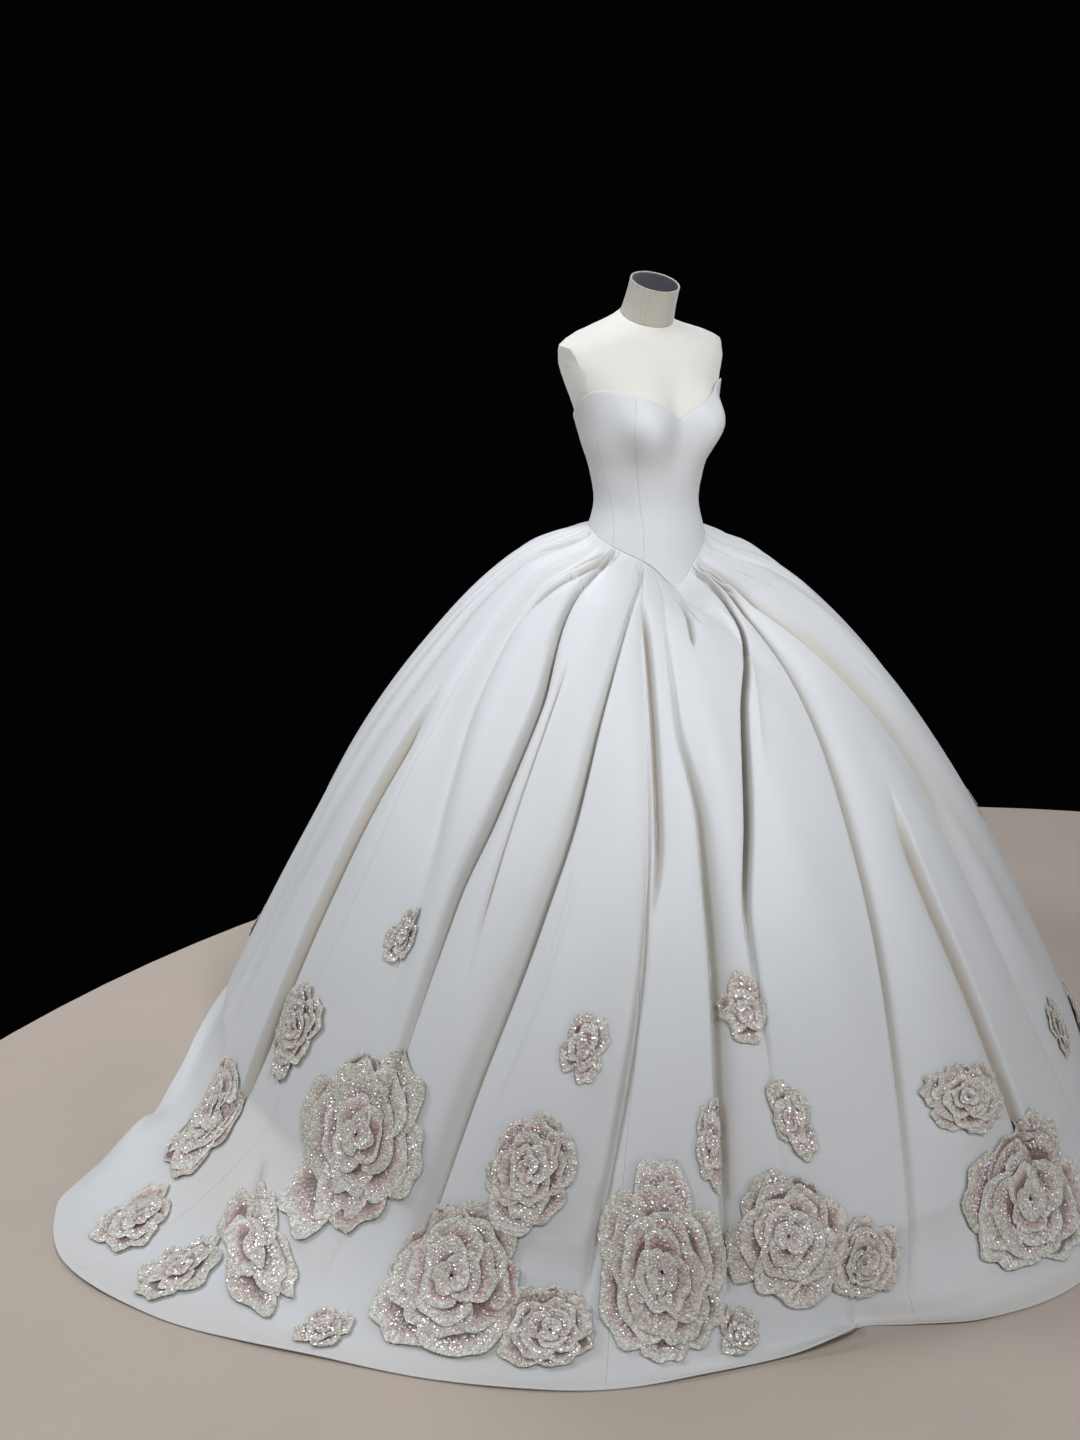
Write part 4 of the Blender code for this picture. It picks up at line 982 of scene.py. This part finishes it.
def add_form():
    """The torso, cut flat at both shoulders, with a covered plate on each cut."""
    angles = np.arange(FORM_SIDES) * 360.0 / FORM_SIDES
    low, high = TORSO["rise"][0], TORSO["rise"][-1]
    rises = low + (high - low) * np.linspace(0, 1, FORM_RINGS)
    body = add_mesh("dressed_form_body", *lathe([form_surface(angles, rise) for rise in rises]),
                    FORM_LINEN)
    shape = bmesh.new()
    shape.from_mesh(body.data)
    cuts = []
    for side in (-1, 1):
        point, normal = arm_plane(side)
        cut = bmesh.ops.bisect_plane(shape, geom=shape.verts[:] + shape.edges[:] + shape.faces[:],
                                     plane_co=point, plane_no=normal, clear_outer=True)
        edges = [item for item in cut["geom_cut"] if isinstance(item, bmesh.types.BMEdge)]
        made = bmesh.ops.edgeloop_fill(shape, edges=edges)
        cuts.append([corner.co.copy() for corner in made["faces"][0].verts])
    bmesh.ops.recalc_face_normals(shape, faces=shape.faces)
    shape.to_mesh(body.data)
    shape.free()
    body.data.shade_smooth()
    body.data.set_sharp_from_angle(angle=math.radians(FORM_SHARP_ANGLE))
    settle(body, "form_linen", "form_body")
    for side, corners, word in ((-1, cuts[0], "right"), (1, cuts[1], "left")):
        _, normal = arm_plane(side)
        middle = sum(corners, Vector()) / len(corners)
        rings = [np.array([middle + (corner - middle) * share + normal * (SEAM_GAP + lift)
                           for corner in corners]) for share, lift in PLATE_PROFILE]
        # the plates take the linen darkened as painted shade
        add_turned("dressed_arm_plate_" + word, rings, PLATE_LINEN_PAINTED_SHADE, "form_linen",
                   "form_arm_plate_" + word)


def on_neck(rings):
    """Rings round +Z from 0, placed on the neck's leaning axis."""
    lean = math.radians(NECK_LEAN)
    base = WAIST_HEIGHT + NECK_RISE
    placed = []
    for points in rings:
        x, y, z = points.T
        placed.append(np.stack([x, y * math.cos(lean) - z * math.sin(lean) + NECK_SET_BACK,
                                base + y * math.sin(lean) + z * math.cos(lean)], -1))
    return placed


def add_neck():
    """The neck in its linen, with a turned rim and a metal cap sunk in the top."""
    slope = np.linspace(0, 1, 14)
    radius = NECK_RADIUS_BASE + (NECK_RADIUS_TOP - NECK_RADIUS_BASE) * slope
    waisted = radius - NECK_WAISTED * np.sin(math.pi * slope)
    recess = NECK_RADIUS_TOP - NECK_RIM
    recess_floor = NECK_LENGTH - CAP_THICKNESS - CAP_BELOW_RIM
    neck = [*zip(waisted[:-1], NECK_LENGTH * slope[:-1]),
            *((NECK_RADIUS_TOP + out, NECK_LENGTH + up) for out, up in NECK_RIM_PROFILE),
            (recess, NECK_LENGTH - CAP_BELOW_RIM), (recess, recess_floor)]
    edge = recess - SEAM_GAP
    top = recess_floor + SEAM_GAP + CAP_THICKNESS
    cap = [(edge, recess_floor + SEAM_GAP), *((edge + out, top + up) for out, up in CAP_EDGE_PROFILE),
           *((edge * share, top) for share in CAP_TOP_RINGS)]
    for name, profile, finish, slot in (("neck", neck, NECK_LINEN, "neck_cloth"),
                                        ("neck_cap", cap, CAP_METAL, "neck_cap")):
        rings = on_neck([ring(radius, height, NECK_SIDES) for radius, height in profile])
        add_turned("dressed_" + name, rings, finish, slot, "form_" + name)


def finish_stand():
    """The pole and the foot stay as they are, in steel."""
    for name in ("form_pole", "form_foot"):
        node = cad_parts[name]
        node.data.materials.clear()
        node.data.materials.append(STAND_STEEL)


# ------------------------------------------------------------------ the bodice
def bodice_seam(name, rise):
    """Angle of a seam at a rise: a column of BODICE_SEAMS, or the centre back."""
    if name == "centre_back":
        return np.full(np.shape(rise), 180.0)
    return smooth_curve(BODICE_SEAMS["rise"], BODICE_SEAMS[name], rise)


def bodice_pucker(angle, rise, distance):
    """The cloth rides up a little beside a seam and dips in soft dimples along it."""
    along_seam = np.sin(rise * 260 + angle * 0.3) * 0.5 + 0.5
    return PUCKER * np.exp(-((distance - PUCKER_PLACE) / PUCKER_WIDTH) ** 2) * along_seam


def add_bodice_panel(name, first, second, side):
    """A panel between two seams, from the basque seam up to the neckline, as a closed sheet."""
    def first_seam(rise):
        """The centre panel's first seam mirrors its second."""
        return -bodice_seam(second, rise) if first is None else bodice_seam(first, rise)

    span = bodice_seam(second, BODICE_MIDDLE) - first_seam(BODICE_MIDDLE)
    width = float(np.radians(span) * BODICE_RADIUS)
    spacing = BODICE_SPACING * 1
    share_up, share_across = np.meshgrid(1 - edge_steps(BODICE_LENGTH, spacing) / BODICE_LENGTH,
                                         edge_steps(width, spacing) / width, indexing="ij")
    angle = np.zeros(share_up.shape)
    for _ in range(BODICE_TURNS):
        rise = basque_rise(angle) + share_up * (neckline_rise(angle) - basque_rise(angle))
        low, high = first_seam(rise[:, :1]), bodice_seam(second, rise[:, -1:])
        angle = low + (high - low) * share_across
    radius = np.hypot(*np.moveaxis(torso_surface(angle, rise), -1, 0)[:2])
    angle = angle + np.degrees(SEAM_GAP / 2 / radius) * (1 - 2 * share_across)
    from_seam = np.minimum(share_across, 1 - share_across) * width
    from_top = (1 - share_up) * BODICE_TALLEST
    roll = edge_roll(from_seam, PANEL_SEAM_ROLL) + edge_roll(from_top, *NECKLINE_ROLL)
    lift = CLOTH - roll + bodice_pucker(angle, rise, from_seam)
    if side < 0:
        angle, rise, lift = -angle[:, ::-1], rise[:, ::-1], lift[:, ::-1]
    outer = above_torso(angle, rise, BODICE_CLEARANCE + lift[..., None])
    points, faces = close_grid(outer, above_torso(angle, rise, BODICE_CLEARANCE))
    uv = np.stack([np.radians(angle) * BODICE_RADIUS, rise], -1).reshape(-1, 2)
    panel = add_mesh("sewn_" + name, points, faces, SATIN, uv=np.concatenate([uv, uv]),
                     tint_and_shade=np.ones((len(points), 3)))
    settle(panel, "satin", name)


def add_bodice():
    """The centre front, and four panels on each side."""
    add_bodice_panel("bodice_centre_front", None, "princess", 1)
    for side, word in ((-1, "right"), (1, "left")):
        add_bodice_panel("bodice_side_front_" + word, "princess", "side_front", side)
        add_bodice_panel("bodice_side_" + word, "side_front", "side_back", side)
        add_bodice_panel("bodice_side_back_" + word, "side_back", "back", side)
        add_bodice_panel("bodice_back_" + word, "back", "centre_back", side)


# ------------------------------------------------------------------ the skirt
def gore_seam(index, along):
    """Angle of a gore's first seam down the skirt."""
    return smooth_curve(FOLD_ALONG, GORES[index % len(GORES)][1], along)


def crowded_columns(first, last, along, radius, spacing):
    """Angles of a gore's columns, row by row.

    The columns crowd beside the folds' edges and follow them down: each row is filled evenly
    in a measure that grows faster where a fold's path is near.
    """
    fine = first[:, None] + (last - first)[:, None] * np.linspace(0, 1, FINE_COLUMNS)
    weight = np.ones(fine.shape)
    paths = [(fold_angle(fold, along), np.ones(along.shape)) for fold in FOLDS]
    for crease in CREASES:
        path, share = crease_course(crease, along)
        paths.append((path, ease(3 * share + 0.5) * ease(3.5 - 3 * share)))
    for path, here in paths:
        away = round_from(path[:, None], fine, radius[:, None]) / CROWD_WIDTH
        weight = weight + CROWDING * here[:, None] * np.exp(-away ** 2)
    measure = np.cumsum(weight, axis=1)
    measure = (measure - measure[:, :1]) / (measure[:, -1:] - measure[:, :1])
    length = float((np.radians(last - first) * radius * weight.mean(axis=1)).max())
    shares = edge_steps(length, spacing) / length
    return np.array([np.interp(shares, row, angles) for row, angles in zip(measure, fine)])


def row_places(spacing):
    """Places down the skirt: close at the waist, evenly on, close at the bend and at the hem."""
    steps = [*EDGE_PLACES]
    bend = SWEEP_START * SKIRT_LENGTH + CLOSER_BEND_PLACE
    while steps[-1] < SKIRT_LENGTH - 0.02:
        at_bend = CLOSER_AT_BEND * math.exp(-((steps[-1] - bend) / CLOSER_BEND_WIDTH) ** 2)
        at_waist = CLOSER_AT_WAIST * (1 - ease(steps[-1] / CLOSER_WAIST_LENGTH))
        steps.append(steps[-1] + spacing * (1 - at_waist - at_bend))
    hem = SKIRT_LENGTH - np.array([*HEM_PLACES, *EDGE_PLACES[::-1]])
    return np.concatenate([steps[:len(steps) // 2 * 2], hem]) / SKIRT_LENGTH


def add_gore(index):
    """One gore as a closed sheet, its seam edges and its hem rolled a little."""
    name = GORES[index][0]
    along = row_places(ROW_SPACING[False])
    first = gore_seam(index, along)
    last = first + turn_back(gore_seam(index + 1, along) - first) % 360
    radius = np.hypot(*np.moveaxis(plain_skirt(first, along), -1, 0)[:2])
    angle = crowded_columns(first, last, along, radius, COLUMN_SPACING[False])
    gap = np.degrees(SEAM_GAP / 2 / radius)[:, None]
    share = (angle - first[:, None]) / (last - first)[:, None]
    angle = angle + gap * (1 - 2 * share)
    point = skirt_surface(angle, along[:, None])
    normal = grid_normals(point)
    from_seam = np.minimum(share, 1 - share) * (np.radians(last - first) * radius)[:, None]
    from_hem = (1 - along)[:, None] * SKIRT_LENGTH
    roll = edge_roll(from_seam, GORE_SEAM_ROLL) + edge_roll(from_hem, *HEM_ROLL)
    outer = point - normal * roll[..., None]
    inner = point - normal * CLOTH
    inner[..., 2] = np.maximum(inner[..., 2], FLOOR_GAP)
    outer[..., 2] = np.maximum(outer[..., 2], FLOOR_GAP + HEM_THICKNESS)
    points, faces = close_grid(outer, inner, 2)
    down = np.broadcast_to(along[:, None] * SKIRT_LENGTH, angle.shape)
    uv = np.stack([np.radians(angle) * radius.max(), down], -1)
    uv = np.concatenate([uv.reshape(-1, 2), uv[::2, ::2].reshape(-1, 2)])
    # painted shade: the satin is darker and warmer where folds, creases and the hem lie in shade
    shade = fold_shade(angle, along[:, None], radius[:, None])[..., None]
    tint_and_shade = 1 - shade * (1 - PAINTED_FOLD_SHADE)
    tint_and_shade = np.concatenate([tint_and_shade.reshape(-1, 3), tint_and_shade[::2, ::2].reshape(-1, 3)])
    gore = add_mesh("sewn_" + name, points, faces, SATIN, uv=uv, tint_and_shade=tint_and_shade)
    settle(gore, "satin", name)


# ------------------------------------------------------------------ the roses
MAP_ANGLES = np.linspace(-180, 180, 2401)
MAP_ALONG = np.linspace(0.45, 1.0, 521)
CLOTH_MAP = skirt_surface(MAP_ANGLES[None, :], MAP_ALONG[:, None])
NORMAL_MAP = grid_normals(CLOTH_MAP)


def on_cloth(angle, along):
    """The skirt's points and normals, read from a fine map of its lower half by bilinear shares."""
    column = (turn_back(angle) + 180) / 360 * (len(MAP_ANGLES) - 1)
    row = (along - MAP_ALONG[0]) / (MAP_ALONG[-1] - MAP_ALONG[0]) * (len(MAP_ALONG) - 1)
    i = np.clip(row.astype(int), 0, len(MAP_ALONG) - 2)
    j = np.clip(column.astype(int), 0, len(MAP_ANGLES) - 2)
    u, v = (row - i)[..., None], (column - j)[..., None]
    return [(grid[i, j] * (1 - u) + grid[i + 1, j] * u) * (1 - v)
            + (grid[i, j + 1] * (1 - u) + grid[i + 1, j + 1] * u) * v
            for grid in (CLOTH_MAP, NORMAL_MAP)]


def to_cloth(rose, x, y, height_mm):
    """Points and normals on the cloth, from millimetres across and down a rose and over it."""
    spin = math.radians(rose.turn)
    across = (x * math.cos(spin) - y * math.sin(spin)) / 1000
    down = (x * math.sin(spin) + y * math.cos(spin)) / 1000
    angle = rose.angle + np.degrees(across / rose.from_axis)
    point, normal = on_cloth(angle, np.minimum(rose.along + down / SKIRT_LENGTH, 0.998))
    return point + normal * height_mm[..., None] / 1000, normal


def petal_place(petal, s, t):
    """A petal's own (s across, t from its base to its rim) as a share of the rose's radius.

    It is a fan whose rim is rounded by a power curve, notched in the middle and ruffled.
    """
    rim = (1 - np.abs(s) ** 2.8 * 0.62) * (1 - petal["notch"] * np.exp(-(s / 0.16) ** 2))
    rim = rim * (1 + petal["ruffle"] * np.sin(petal["waves"] * s + petal["phase"]) * t)
    reach = petal["inner"] + (petal["reach"] - petal["inner"]) * t * rim
    narrow = 0.72 + 0.28 * np.sin(np.clip(t, 0, 1) * math.pi / 2)
    direction = petal["direction"] + petal["half_angle"] * s * narrow
    return reach * np.cos(direction), reach * np.sin(direction)


def petal_height(petal, s, t):
    """Millimetres over the cloth: low at the base, raised at the rim, one flank over the other."""
    rise = petal["lift"] + petal["raise"] * np.clip(t, 0, 1) ** 1.6
    curl = -RIM_CURL * ease((t - 0.86) / 0.14) * petal["raise"]
    flank = 0.8 * s * (0.4 + 0.6 * t)
    ruffle = 0.6 * np.sin(petal["waves"] * 0.8 * s + petal["phase"] * 1.7) * t
    return np.maximum(rise + curl + flank + ruffle, 0.5)


def on_petal(rose, petal, s, t, lift_mm=0.0, aside=0.0):
    """Points and normals on a petal, lifted off it, or aside of s at the height that it has at s."""
    x, y = petal_place(petal, s + aside, t)
    height_mm = petal_height(petal, s, t) + lift_mm
    return to_cloth(rose, x * rose.width_mm / 2, y * rose.height_mm / 2, height_mm)


CREAM = np.array(linear("#dcd5c3")[:3])
PALE_GREEN = np.array(linear("#c8c3aa")[:3])
DUSTY_PINK = np.array(linear("#c09e92")[:3])
# the petal's own deep pink, darkened further with painted shade where it comes out from under the next
# petals
DEEP_PINK_AND_SHADE = np.array(linear("#866a5e")[:3])
SILVER = np.array(linear("#f2efe8")[:3])
PINK_FILM = np.array(linear("#dec6be")[:3])


def petal_tint_and_shade(t, petal):
    """Deep pink and painted shade under the next petals' rims, then dusty pink, cream at the rim."""
    t = np.asarray(t)[..., None]
    shown = (t - petal["covered"]) / (1 - petal["covered"])
    rim = CREAM + (PALE_GREEN - CREAM) * petal["green"]
    middle = CREAM + (DUSTY_PINK - CREAM) * petal["pinkness"]
    base = DEEP_PINK_AND_SHADE + (middle - DEEP_PINK_AND_SHADE) * ease(shown / 0.25)
    return base + (rim - base) * ease((shown - petal["pink_to"]) / 0.22)


def rose_petals(rose, rng):
    """A list of petals, ring by ring from the outside in."""
    rings = SMALL_ROSE if rose.width_mm < SMALL_ROSE_MM else FULL_ROSE
    petals = []
    swirl = rng.uniform(0, 360)
    next_reach = [*rings["reach"][1:], 0.0]
    for count, inner, reach, half, lift, raised, spin, hides in zip(*rings.values(), next_reach):
        outermost = reach > 0.99
        for k in range(int(count)):
            reached = reach * (rng.uniform(*OUTER_REACH) if outermost else rng.uniform(0.92, 1.06))
            petals.append({
                "direction": math.radians(swirl + spin + 360 * k / count + rng.uniform(-9, 9)),
                "half_angle": math.radians(half * rng.uniform(0.84, 1.16)),
                "inner": inner, "reach": reached, "outermost": outermost,
                "lift": lift + 0.4 * (k % 2), "raise": raised * rng.uniform(0.8, 1.2),
                "notch": rng.uniform(0.0, 0.12), "ruffle": rng.uniform(0.03, 0.08),
                "waves": rng.uniform(7, 13), "phase": rng.uniform(0, 6.28),
                "pinkness": rng.uniform(0.35, 1.0), "green": rng.uniform(0, 0.8),
                "pink_to": rng.uniform(0.30, 0.55), "sparkle": rng.random() < SPARKLING,
                "covered": max(0.0, (hides - inner) / (reached - inner) - 0.08),
            })
    return petals


def petal_sheet(rose, petal):
    """Points, faces and tints of one petal, a thin closed shell over the cloth."""
    s, t = np.meshgrid(np.linspace(-1, 1, PETAL_COLUMNS), np.linspace(0, 1, PETAL_ROWS) ** 0.8)
    outer, normal = on_petal(rose, petal, s, t)
    thickness = np.minimum(PETAL_THICKNESS_MM, petal_height(petal, s, t) * 0.8) / 1000
    points, faces = close_grid(outer, outer - normal * thickness[..., None])
    tint_and_shade = petal_tint_and_shade(t, petal).reshape(-1, 3)
    # painted shade: the inner sheet, under the petal and facing the cloth, takes the petal's colours at
    # 0.6
    return points, faces, np.concatenate([tint_and_shade, tint_and_shade * 0.6])


def sequin_size(rose):
    """Width in millimetres: the small motifs have larger ones."""
    return PAILLETTE_MM if rose.width_mm < SMALL_ROSE_MM else SEQUIN_MM


def mean_radius(rose):
    """Half the mean of its width and height, in millimetres."""
    return (rose.width_mm + rose.height_mm) / 4


def sequin_spots(rose, petal, rng):
    """Places (s, t) of a petal's sequins: rows that follow its rim, set close together."""
    radius = mean_radius(rose)
    pitch = sequin_size(rose) * SEQUIN_OVERLAP
    depth = petal["reach"] - petal["inner"]
    rows = max(2, round(radius * depth / pitch))
    spots = []
    for j in range(rows):
        t = (j + 0.5) / rows
        if t < petal["covered"] and t < 1 - 1.5 / rows:
            continue
        reach = petal["inner"] + depth * t
        count = max(1, round(2 * petal["half_angle"] * reach * radius / pitch))
        s = (np.arange(count) + 0.5 * (1 + (j % 2) * 0.5)) / count * 2 - 1
        spots.append(np.stack([s, np.full(count, t)], -1))
    spots = np.concatenate(spots)
    if not petal["sparkle"] and radius > SMALL_ROSE_MM / 2:
        spots = spots[rng.random(len(spots)) < SPARSE]
    jitter = rng.normal(0, 1, spots.shape) * np.array(SEQUIN_JITTER)
    return np.clip(spots + jitter, (-0.96, 0.02), (0.96, 0.97))


def sequin_tints(petal, t, rng):
    """Clear or pink film over the petal's own colour, which shows through more at the rim."""
    clear = rng.random(len(t)) < CLEAR_FILM[petal["sparkle"]]
    film = np.where(clear[:, None], SILVER, PINK_FILM)
    blend = np.where(t > 0.8, FILM_OVER[1], FILM_OVER[0])[:, None]
    return petal_tint_and_shade(t, petal) * (1 - blend) + film * blend


def sequin_mesh(centres, normals, radius, tints, rng):
    """Low closed pyramids, one for each sequin, each tilted its own way."""
    count = len(centres)
    up = unit(normals + rng.normal(0, SEQUIN_TILT, (count, 3)))
    side = unit(np.cross(up, rng.normal(0, 1, (count, 3))))
    other = np.cross(up, side)
    turn = np.arange(SEQUIN_SIDES)[:, None] * 2 * math.pi / SEQUIN_SIDES
    rim = (centres[:, None] + radius[:, None, None]
           * (side[:, None] * np.cos(turn) + other[:, None] * np.sin(turn)))
    apex = centres + up * SEQUIN_CUP_MM / 1000
    points = np.concatenate([rim, apex[:, None]], axis=1).reshape(-1, 3)
    start = np.arange(count) * (SEQUIN_SIDES + 1)
    sides = [np.stack([start + k, start + (k + 1) % SEQUIN_SIDES, start + SEQUIN_SIDES], -1)
             for k in range(SEQUIN_SIDES)]
    under = [np.stack([start, start + k + 2, start + k + 1], -1) for k in range(SEQUIN_SIDES - 2)]
    return points, np.concatenate(sides + under), np.repeat(tints, SEQUIN_SIDES + 1, axis=0)


def rim_threads(rose, petal, rng):
    """Frayed threads at a petal's rim: thin closed spikes, each bent its own way."""
    rim_length = 2 * petal["half_angle"] * petal["reach"] * mean_radius(rose)
    pitch = THREAD_PITCH_MM[0 if petal["outermost"] else 1]
    s = np.linspace(-0.97, 0.97, max(4, round(rim_length / pitch)))
    places = [on_petal(rose, petal, s, np.full(len(s), t), -THREAD_SUNK_MM, aside)
              for aside, t in ((0, 0.985), (0.03, 0.985), (0, 0.90))]
    (roots, normals), (beside, _), (below, _) = places
    along_rim, outwards = unit(beside - roots), unit(roots - below)
    count = len(roots)
    length = rng.uniform(*THREAD_LENGTH_MM, count)[:, None] / 1000
    aim = unit(outwards + along_rim * rng.normal(0, THREAD_BEND, (count, 1))
               + normals * rng.normal(*THREAD_RISE, (count, 1)))
    corners = [roots + along_rim * THREAD_HALF, roots - along_rim * THREAD_HALF,
               roots + normals * THREAD_HALF * 1.6, roots + aim * length]
    points = np.stack(corners, axis=1).reshape(-1, 3)
    start = np.arange(count) * 4
    faces = [np.stack([start + a, start + b, start + c], -1)
             for a, b, c in ((0, 2, 1), (0, 3, 2), (2, 3, 1), (1, 3, 0))]
    return points, np.concatenate(faces), np.tile(CREAM * 1.1, (len(points), 1))


def add_joined(name, parts, finish, slot, smooth=True):
    """One piece of several parts, each with its points, triangles or quads, and tints."""
    points, faces, tints, start = [], [], [], 0
    for part_points, part_faces, part_tints in parts:
        points.append(part_points)
        faces += (part_faces + start).tolist()
        tints.append(part_tints)
        start += len(part_points)
    piece = add_mesh(name, np.concatenate(points), faces, finish, tint_and_shade=np.concatenate(tints),
                     smooth=smooth)
    settle(piece, slot)
    return piece


def add_rose(number, rose):
    """One rose: its petals with their frayed rims, and its sequins."""
    rng = np.random.default_rng(1000 + number)
    sewn, sequins = [], []
    petals = rose_petals(rose, rng)
    for petal in petals:
        sewn.append(petal_sheet(rose, petal))
        s, t = sequin_spots(rose, petal, rng).T
        tints = sequin_tints(petal, t, rng)
        radius = np.where(t > AT_RIM, AT_RIM_SMALLER, 1.0) * sequin_size(rose) / 2000
        radius = radius * rng.uniform(0.85, 1.1, len(t))
        sequins.append((*on_petal(rose, petal, s, t, SEQUIN_LIFT_MM), radius, tints))
    film = sequin_mesh(*[np.concatenate(column) for column in zip(*sequins)], rng)
    sewn += [rim_threads(rose, petal, rng) for petal in petals]
    return [add_joined("rose_%02d_petals" % number, sewn, PETALS, "rose_petals"),
            add_joined("rose_%02d_sequins" % number, [film], SEQUINS, "sequins", smooth=False)]


def add_skirt():
    """All roses, and then the gores that carry them."""
    ROSES["from_axis"] = np.hypot(*plain_skirt(ROSES["angle"], ROSES["along"])[:, :2].T)
    first_seams = np.array([float(gore_seam(index, 0.85)) for index in range(len(GORES))])
    sewn_on = [[] for _ in GORES]
    for number, rose in enumerate(map(Rose._make, zip(*ROSES.values())), start=1):
        past = (rose.angle - first_seams) % 360
        sewn_on[int(np.argmin(past))] += add_rose(number, rose)
    for index in range(len(GORES)):
        add_gore(index)


# ------------------------------------------------------------------ studio
CAMERA_PLACE = (-1.92949, -2.57557, 1.93634)
CAMERA_TURN = (70.0, 0.0, -33.0)
CAMERA_LENS_MM = 40.0
FLOOR_RADIUS = 2.80
FLOOR_CENTRE = (0.0, -1.75)
LIGHT_COLOUR = (0.91, 0.965, 1.10)
SPOT_ANGLE = 40.0
SURROUND = (0.001, 0.001, 0.001, 1)
# kind, power in watts, size in metres, place, and the point that it faces
LIGHTS = [
    ("front key", "AREA", 78, 1.0, (-0.7, -2.9, 4.1), (0, 0, 0.9)),
    ("bodice key", "SPOT", 238, 0.5, (-0.9, -3.6, 3.2), (0, 0, 1.4)),
    ("left key", "AREA", 42, 1.2, (-3.6, -1.2, 3.4), (0, 0, 0.9)),
    ("back", "AREA", 65, 1.2, (0.6, 3.0, 4.2), (0, 0.2, 0.8)),
    ("right side", "AREA", 34, 1.6, (4.0, 0.8, 3.0), (0, 0, 0.8)),
    ("low front", "AREA", 33, 1.6, (1.2, -4.2, 1.6), (0, 0, 0.8)),
    ("left back", "AREA", 104, 1.2, (-3.0, 2.4, 3.6), (0, 0, 0.8)),
]


def add_floor():
    """A round pale floor, flat and matt with faint clouds."""
    turn = np.linspace(0, 2 * math.pi, 128, endpoint=False)
    points = np.stack([FLOOR_RADIUS * np.cos(turn) + FLOOR_CENTRE[0],
                       FLOOR_RADIUS * np.sin(turn) + FLOOR_CENTRE[1], 0 * turn], -1)
    made, tree, shader = new_finish("pale_floor", Roughness=0.62, Specular_IOR_Level=0.3)
    place = add_node(tree, "ShaderNodeTexCoord").outputs["Object"]
    cloud = add_node(tree, "ShaderNodeTexNoise", {"Vector": place}, Scale=2.5, Detail=6.0)
    tone = add_node(tree, "ShaderNodeMix", {"Factor": cloud.outputs["Fac"], 6: linear("#b0a391"),
                                            7: linear("#bfae9c")}, data_type="RGBA")
    feed(tree, shader, {"Base Color": tone.outputs[2]})
    floor = add_mesh("floor", points, [tuple(range(len(points)))], made, smooth=False)


def place_in_scene(name, data, place, rotation):
    """Links a lamp or a camera to the scene and returns it."""
    made = bpy.data.objects.new(name, data)
    made.location = place
    made.rotation_euler = rotation
    bpy.context.scene.collection.objects.link(made)
    return made


def add_studio():
    """Soft lamps aimed at the gown, a black surround and the camera."""
    for name, kind, power, size, place, target in LIGHTS:
        light = bpy.data.lights.new(name, kind)
        light.energy = power
        light.color = LIGHT_COLOUR
        if kind == "SPOT":
            light.shadow_soft_size = size / 2
            light.spot_size = math.radians(SPOT_ANGLE)
            light.spot_blend = 1.0
        else:
            light.size = size
        aim = (Vector(target) - Vector(place)).to_track_quat("-Z", "Y").to_euler()
        place_in_scene(name, light, place, aim)
    scene = bpy.context.scene
    scene.world = bpy.data.worlds.new("studio")
    scene.world.use_nodes = True
    scene.world.node_tree.nodes["Background"].inputs["Color"].default_value = SURROUND
    lens = bpy.data.cameras.new("camera")
    lens.lens = CAMERA_LENS_MM
    turns = [math.radians(turn) for turn in CAMERA_TURN]
    scene.camera = place_in_scene("camera", lens, CAMERA_PLACE, turns)
    scene.view_settings.view_transform = "Standard"


add_form()
add_neck()
finish_stand()
add_bodice()
add_skirt()
add_floor()
add_studio()
